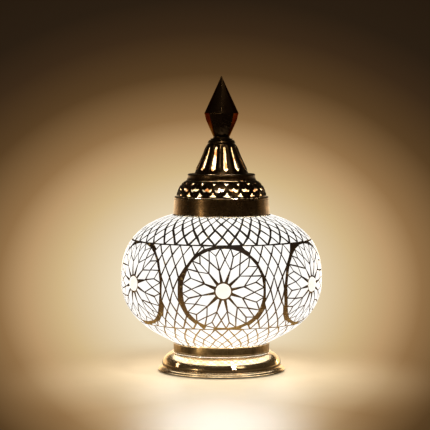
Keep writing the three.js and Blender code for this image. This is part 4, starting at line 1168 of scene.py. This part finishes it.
def mosaic_globe():
    grout_shell()
    flowers = [Flower(k) for k in range(FLOWERS)]
    pitch = 360 / FLOWERS
    for k, flower in enumerate(flowers):
        mosaic = Mosaic()
        flower.lay(mosaic)
        mosaic.finish(f"flower_{k + 1}", f"mosaic_rosette_{k + 1}")
        rosette_bead(flower, f"flower_bead_{k + 1}", f"rosette_bead_{k + 1}")
        neighbours = (flower, flowers[(k + 1) % FLOWERS])
        net(pitch * (k + 0.5), neighbours, f"diamond_net_{k + 1}", f"mosaic_net_{k + 1}")
    upper = [LINE_HIGH_S, *map(GLOBE.length_at, UPPER_ROWS_Z), HIGH_S]
    lower = [LINE_LOW_S, *map(GLOBE.length_at, LOWER_ROWS_Z), LOW_S]
    band(upper, UPPER_COLUMNS, UPPER_JOINTS, "upper_band", "mosaic_band_top")
    band(lower, LOWER_COLUMNS, LOWER_JOINTS, "lower_band", "mosaic_band_bottom")


# ---------------------------------------------------------------- cord, plug and small parts

CORD_RADIUS = 2.3


def cord(path, name, node, sides=20):
    """A round cord along a smooth path of points, closed at both ends."""
    points = [Vector(p) for p in smooth_run(path, 8)]
    verts = []
    side = Vector((1, 0, 0))
    for i, point in enumerate(points):
        along = (points[min(i + 1, len(points) - 1)] - points[max(i - 1, 0)]).normalized()
        side = (side - side.dot(along) * along).normalized()
        verts += ring_about(point, side, along.cross(side), CORD_RADIUS, sides)
    ends = [disc(0, sides), disc(len(verts) - sides, sides)[::-1]]
    piece(name, verts, skin(0, sides, len(points)) + ends, CORD, node)


def cords():
    (_, front, _), (_, rear, split_z) = box_mm("switch_base")
    switch_x = centre_of("switch_base")[0]
    plug_x, _, plug_z = centre_of("plug_body")
    plug_rear = box_mm("plug_body")[1][1]
    hole_z = centre_of("cable_grommet")[2]
    lying = 2.4
    riser = [(0, 0, 29), (0, 0, 20), (0, 0, 11.5), (0, 1.1, 7.3), (0, 4.6, 5.1), (0, 12, 5.1), (0, 28, 5.1),
             (0, 42, hole_z - 0.1), (0, 48, hole_z), (0, 54, hole_z - 0.1), (-2, 61, 4.4),
             (-7, 65.5, lying + 0.2), (-14, 68.6, lying + 0.4), (switch_x + 0.8, 71.5, 5.2),
             (switch_x, front - 2, split_z), (switch_x, front + 4, split_z)]
    tail = [(switch_x, rear - 4, split_z), (switch_x, rear + 2, split_z),
            (switch_x + 1, rear + 8, lying + 1.2), (switch_x + 7, rear + 17, lying), (0, rear + 21, lying),
            (plug_x - 7, plug_rear + 15, lying),
            (plug_x - 1, plug_rear + 7, lying + 1.2), (plug_x, plug_rear + 2, plug_z),
            (plug_x, plug_rear - 3, plug_z)]
    cord(riser, "cord_to_switch", "cable")
    cord(tail, "cord_to_plug", "cable_tail")


SLEEVE_RIBS, SLEEVE_START, SLEEVE_PITCH = 5, 28.2, 2.0


def plug_sections(wide, tall, length):
    """Distance from the plug's face, half width and half height, from the face back to the cord."""
    sections = [(0.0, wide - 1.2, tall - 1.0), (0.6, wide - 0.3, tall - 0.3), (1.6, wide, tall),
                (9.0, wide, tall), (14.0, wide * 0.84, tall), (19.0, wide * 0.62, tall * 0.97),
                (23.5, wide * 0.43, tall * 0.88), (27.0, wide * 0.33, tall * 0.78)]
    for k in range(SLEEVE_RIBS):
        y = SLEEVE_START + SLEEVE_PITCH * k
        crest, groove = 4.6 - 0.12 * k, 3.9 - 0.1 * k
        steps = ((0.0, crest), (0.9, crest), (1.0, groove), (1.9, groove))
        sections += [(y + step, reach, reach) for step, reach in steps]
    return [s for s in sections if s[0] < length] + [(length, 3.2, 3.2)]


def plug_body():
    """A flat two-pin plug, broad at its face and drawn in to a ribbed sleeve round the cord."""
    low, high = box_mm("plug_body")
    x, _, z = centre_of("plug_body")
    sections = plug_sections(high[0] - x, high[2] - z, high[1] - low[1])
    sides = 48
    verts = []
    for y, half_x, half_z in sections:
        squareness = 2 / (2 + 3.0 * max(0.0, min(1.0, (half_x - 5) / 8)))
        for t in turns(sides):
            c, s = math.cos(t), math.sin(t)
            verts.append((x + half_x * math.copysign(abs(c) ** squareness, c), low[1] + y,
                          z + half_z * math.copysign(abs(s) ** squareness, s)))
    ends = [disc(0, sides)[::-1], disc(len(verts) - sides, sides)]
    faces = [quad[::-1] for quad in skin(0, sides, len(sections))] + ends
    piece("moulded_plug", verts, faces, BLACK_PLASTIC, "plug_body")


def round_off(node, width):
    """Softens a CAD node's edges with a bevel, leaving its mesh as it is."""
    modifier = frame["nodes"][node].modifiers.new("soft_edges", "BEVEL")
    modifier.width = width * MM
    modifier.segments = 3
    modifier.limit_method = "ANGLE"
    modifier.angle_limit = math.radians(40)


BULB_NECK, BULB_WALL = 6.1, 0.9


def bulb():
    """Opal round bulb with a neck, open underneath."""
    radius, low, high = extent("bulb_envelope")
    outer = [(BULB_NECK, low), (BULB_NECK, low + 8)]
    outer += smooth_run([(BULB_NECK, low + 8.5), (8.2, low + 12.5), (12.2, low + 16.5)], 4)
    outer += arc(0, high - radius, radius, -52, 90, 18)
    outer[-1] = (0.0, high)
    inner = [(max(r - BULB_WALL, 0.0), z - (BULB_WALL if r < 1 else 0)) for r, z in outer[:-1]]
    obj = turned("opal_bulb", [(0.0, high - BULB_WALL)] + inner[::-1] + outer, OPAL, "bulb_envelope", 64)
    for entry in obj.data.color_attributes.new("tint", "FLOAT_COLOR", "POINT").data:
        entry.color = (1.0, 1.0, 1.0, 1.0)


# ---------------------------------------------------------------- stage, in metres

CAMERA_PLACE = (-0.0055, -1.56, 0.234)
CAMERA_PITCH = 3.73
HALF_VIEW = 6.667
WARM = (1.0, 0.84, 0.62)
AMBER = (1.0, 0.72, 0.42)
CREAM = (1.0, 0.93, 0.78)


def camera():
    data = bpy.data.cameras.new("camera")
    data.angle = math.radians(2 * HALF_VIEW)
    data.clip_start = 0.05
    obj = linked("camera", data)
    obj.location = CAMERA_PLACE
    obj.rotation_euler = (math.radians(90 - CAMERA_PITCH), 0, 0)
    bpy.context.scene.camera = obj


def lamp(name, kind, place, power, colour, aim=None, **shape):
    """A light at a place, facing its aim, that the camera does not see."""
    data = bpy.data.lights.new(name, kind)
    data.energy = power
    data.color = colour
    for key, value in shape.items():
        setattr(data, key, value)
    obj = linked(name, data)
    obj.location = place
    obj.visible_camera = False
    if aim:
        obj.rotation_euler = (Vector(aim) - Vector(place)).to_track_quat("-Z", "Y").to_euler()


def hidden_lights(name, count, reach_mm, height_mm, power, colour, first):
    """Small lamps spread round the axis inside a hollow."""
    for k in range(count):
        place = around(math.radians(first + 360 / count * k), reach_mm * MM, height_mm * MM)
        lamp(f"{name}_{k + 1}", "POINT", place, power, colour, shadow_soft_size=0.002)


def lights():
    """A strip for the streak down the bands, a fill, the lit wall the metal mirrors, and the inner lamps."""
    lamp("front_strip", "AREA", around(math.radians(-50), 1.3, 0.06), 1.3, WARM, (0, 0, 0.15),
         shape="RECTANGLE", size=0.1, size_y=0.16)
    lamp("fill", "AREA", (1.0, -1.2, 1.0), 1.4, WARM, (0, 0, 0.12), shape="DISK", size=0.5)
    lamp("lit_wall", "AREA", (0, 0.55, 0.08), 1.1, AMBER, (0, 0, 0.08),
         shape="RECTANGLE", size=1.3, size_y=0.16)
    lamp("floor_wash", "AREA", (0, -0.33, 0.7), 1.5, CREAM, (0, -0.33, 0), shape="DISK", size=0.1)
    hidden_lights("foot_glow", 6, 30, 9, 0.04, WARM, 42)
    hidden_lights("dome_glow", 3, 20, 152, 0.03, WARM, 35)
    hidden_lights("cone_glow", 3, 9, 173, 0.008, AMBER, 40)


FLOOR_REACH_X, FLOOR_REACH_Y, FLOOR_CENTRE_Y = 0.2, 0.27, -0.04
POOL_REACH_X, POOL_REACH_Y, POOL_CENTRE_Y = 0.13, 0.4, -0.24
# A painted pool of light on the floor in front of the lamp, added to the floor's glow for the camera.
SHINE_REACH_X, SHINE_REACH_Y, SHINE_CENTRE_Y = 0.085, 0.2, -0.29
SHINE_TONE = (0.75, 0.8, 0.8, 1.0)
# Painted reflection: the metal's reflections show the floor in this darker tone, not its own colour.
MIRRORED_TONE = (0.07, 0.05, 0.03, 1.0)
# How strongly the floor's painted glow shows to the camera.
FLOOR_LIFT = 0.5
FLOOR_DROP = 0.0002


def floor():
    """A plain pale floor that melts into the backdrop away from the lamp. Its colour carries painted light:
    paler near the lamp, and for the camera a painted glow with a pool of light in front of the lamp.
    """
    count, reaches_mm = 96, (100, 250, 500, 1000)
    verts = [(0, 0, 0)]
    verts += [(reach * math.cos(t), reach * math.sin(t), 0) for reach in reaches_mm for t in turns(count)]
    faces = [[0, a, b] for a, b, _ in fan(1, count, 0)] + skin(1, count, len(reaches_mm), flipped=True)
    obj = linked("floor", new_mesh("floor", verts, faces))
    obj.data.materials.append(pale_floor())
    obj.location.z = -FLOOR_DROP


def away_from(g, centre_y, reach_x, reach_y):
    """Distance from a spot on the floor, as a share of an ellipse's reach."""
    shifted = g.vector("SUBTRACT", g.place(), (0.0, centre_y, 0.0))
    return g.vector("LENGTH", g.vector("MULTIPLY", shifted, (1 / reach_x, 1 / reach_y, 1.0)))


def faded(g, away, start):
    """One near a spot, falling to nothing at the edge of its reach."""
    return g.map_range(away, "SMOOTHERSTEP", From_Min=start, From_Max=1.0, To_Min=1.0, To_Max=0.0)


def pale_floor():
    g = material_graph("pale_floor")
    away = away_from(g, FLOOR_CENTRE_Y, FLOOR_REACH_X, FLOOR_REACH_Y)
    in_front = away_from(g, POOL_CENTRE_Y, POOL_REACH_X, POOL_REACH_Y)
    shown = g.math("MAXIMUM", faded(g, away, 0.3), faded(g, in_front, 0.1))
    # Painted light: the floor's colour is paler near the lamp and darker away from it.
    near_to_far = g.ramp(away, (0.1, (0.7, 0.6, 0.44)), (1.0, (0.55, 0.4, 0.22)))
    tone = g.shade(near_to_far, 0.3, g.noise(30.0), (0.3, 0.85), (0.7, 1.0))
    path = g.add("LightPath").outputs
    seen = path["Is Camera Ray"]
    # Painted pool of light in front of the lamp.
    painted_light_pool = faded(g, away_from(g, SHINE_CENTRE_Y, SHINE_REACH_X, SHINE_REACH_Y), 0.0)
    # Painted glow for the camera, brighter near the lamp.
    near = g.ramp(away, (0.1, (0.45, 0.35, 0.21)), (1.0, (0.33, 0.22, 0.11)))
    material = g.surface(Base_Color=g.mix("MIX", path["Is Glossy Ray"], tone, MIRRORED_TONE), Roughness=0.4,
                         Emission_Color=g.mix("ADD", painted_light_pool, near, SHINE_TONE),
                         Emission_Strength=g.math("MULTIPLY", seen, FLOOR_LIFT),
                         Alpha=g.math("MAXIMUM", shown, seen))
    melting = g.math("MULTIPLY", seen, g.math("SUBTRACT", 1.0, shown))
    solid = g.tree.nodes["Principled BSDF"].outputs["BSDF"]
    melt = g.add("MixShader", melting, solid, g.add("Emission", glow_colour(g)).outputs["Emission"])
    g.feed(g.tree.nodes["Material Output"], [("Surface", melt.outputs["Shader"])])
    return material


GLOW_MIDDLE = (0.488, 0.326, 0.0)
GLOW_REACH = (0.493, 0.4)
GLOW_TONES = (
    (0.20, (0.86, 0.73, 0.51)), (0.35, (0.65, 0.475, 0.245)), (0.43, (0.503, 0.319, 0.153)),
    (0.50, (0.287, 0.162, 0.065)), (0.63, (0.098, 0.051, 0.018)), (0.75, (0.044, 0.023, 0.0097)),
    (0.85, (0.024, 0.0137, 0.0065)), (1.0, (0.0194, 0.011, 0.0052)))
WALL_LEVELS = ((0.1, 0.12), (0.3, 0.3), (0.42, 0.8), (0.5, 0.55), (0.6, 0.02))
ROOM_LEVEL = 0.05


def glow_colour(g):
    """The warm glow round the lamp, by place in the picture."""
    offset = g.vector("SUBTRACT", g.place("Window"), GLOW_MIDDLE)
    flattened = g.vector("MULTIPLY", offset, (0.5 / GLOW_REACH[0], 0.5 / GLOW_REACH[1], 0.0))
    return g.ramp(g.vector("LENGTH", flattened), *GLOW_TONES, interpolation="LINEAR")


def room_strength(g):
    """Brightness by direction: a lit wall on the far side, low down, and a dark room elsewhere."""
    direction = g.split(g.place("Generated"))
    wall = g.map_range(direction["Y"], "SMOOTHSTEP", From_Min=0.12, From_Max=0.5, To_Max=1.0)
    height = g.map_range(direction["Z"], From_Min=-0.5, From_Max=0.5)
    return g.math("MULTIPLY_ADD", wall, g.ramp(height, *WALL_LEVELS, interpolation="LINEAR"), ROOM_LEVEL)


def backdrop():
    """The camera sees a warm glow round the lamp. A dim room with a lit wall behind is what lights it."""
    world = bpy.data.worlds.new("studio")
    bpy.context.scene.world = world
    g = Graph(world)
    g.tree.nodes.clear()
    room = g.add("Background", (*AMBER, 1.0), room_strength(g))
    seen = g.add("Background", glow_colour(g))
    is_seen = g.add("LightPath").outputs["Is Camera Ray"]
    g.add("OutputWorld", g.add("MixShader", is_seen, room.outputs[0], seen.outputs[0]).outputs[0])


paint_cad_nodes()
base_foot()
neck_ring()
lower_collar()
upper_collar()
pierced_dome()
crown_ring()
slotted_cone()
crown_neck()
finial()
mosaic_globe()
bulb()
cords()
plug_body()
round_off("switch_base", 0.8)
round_off("switch_cover", 0.9)
round_off("switch_rocker", 0.5)
floor()
backdrop()
lights()
camera()
bpy.context.scene.view_settings.view_transform = "Standard"
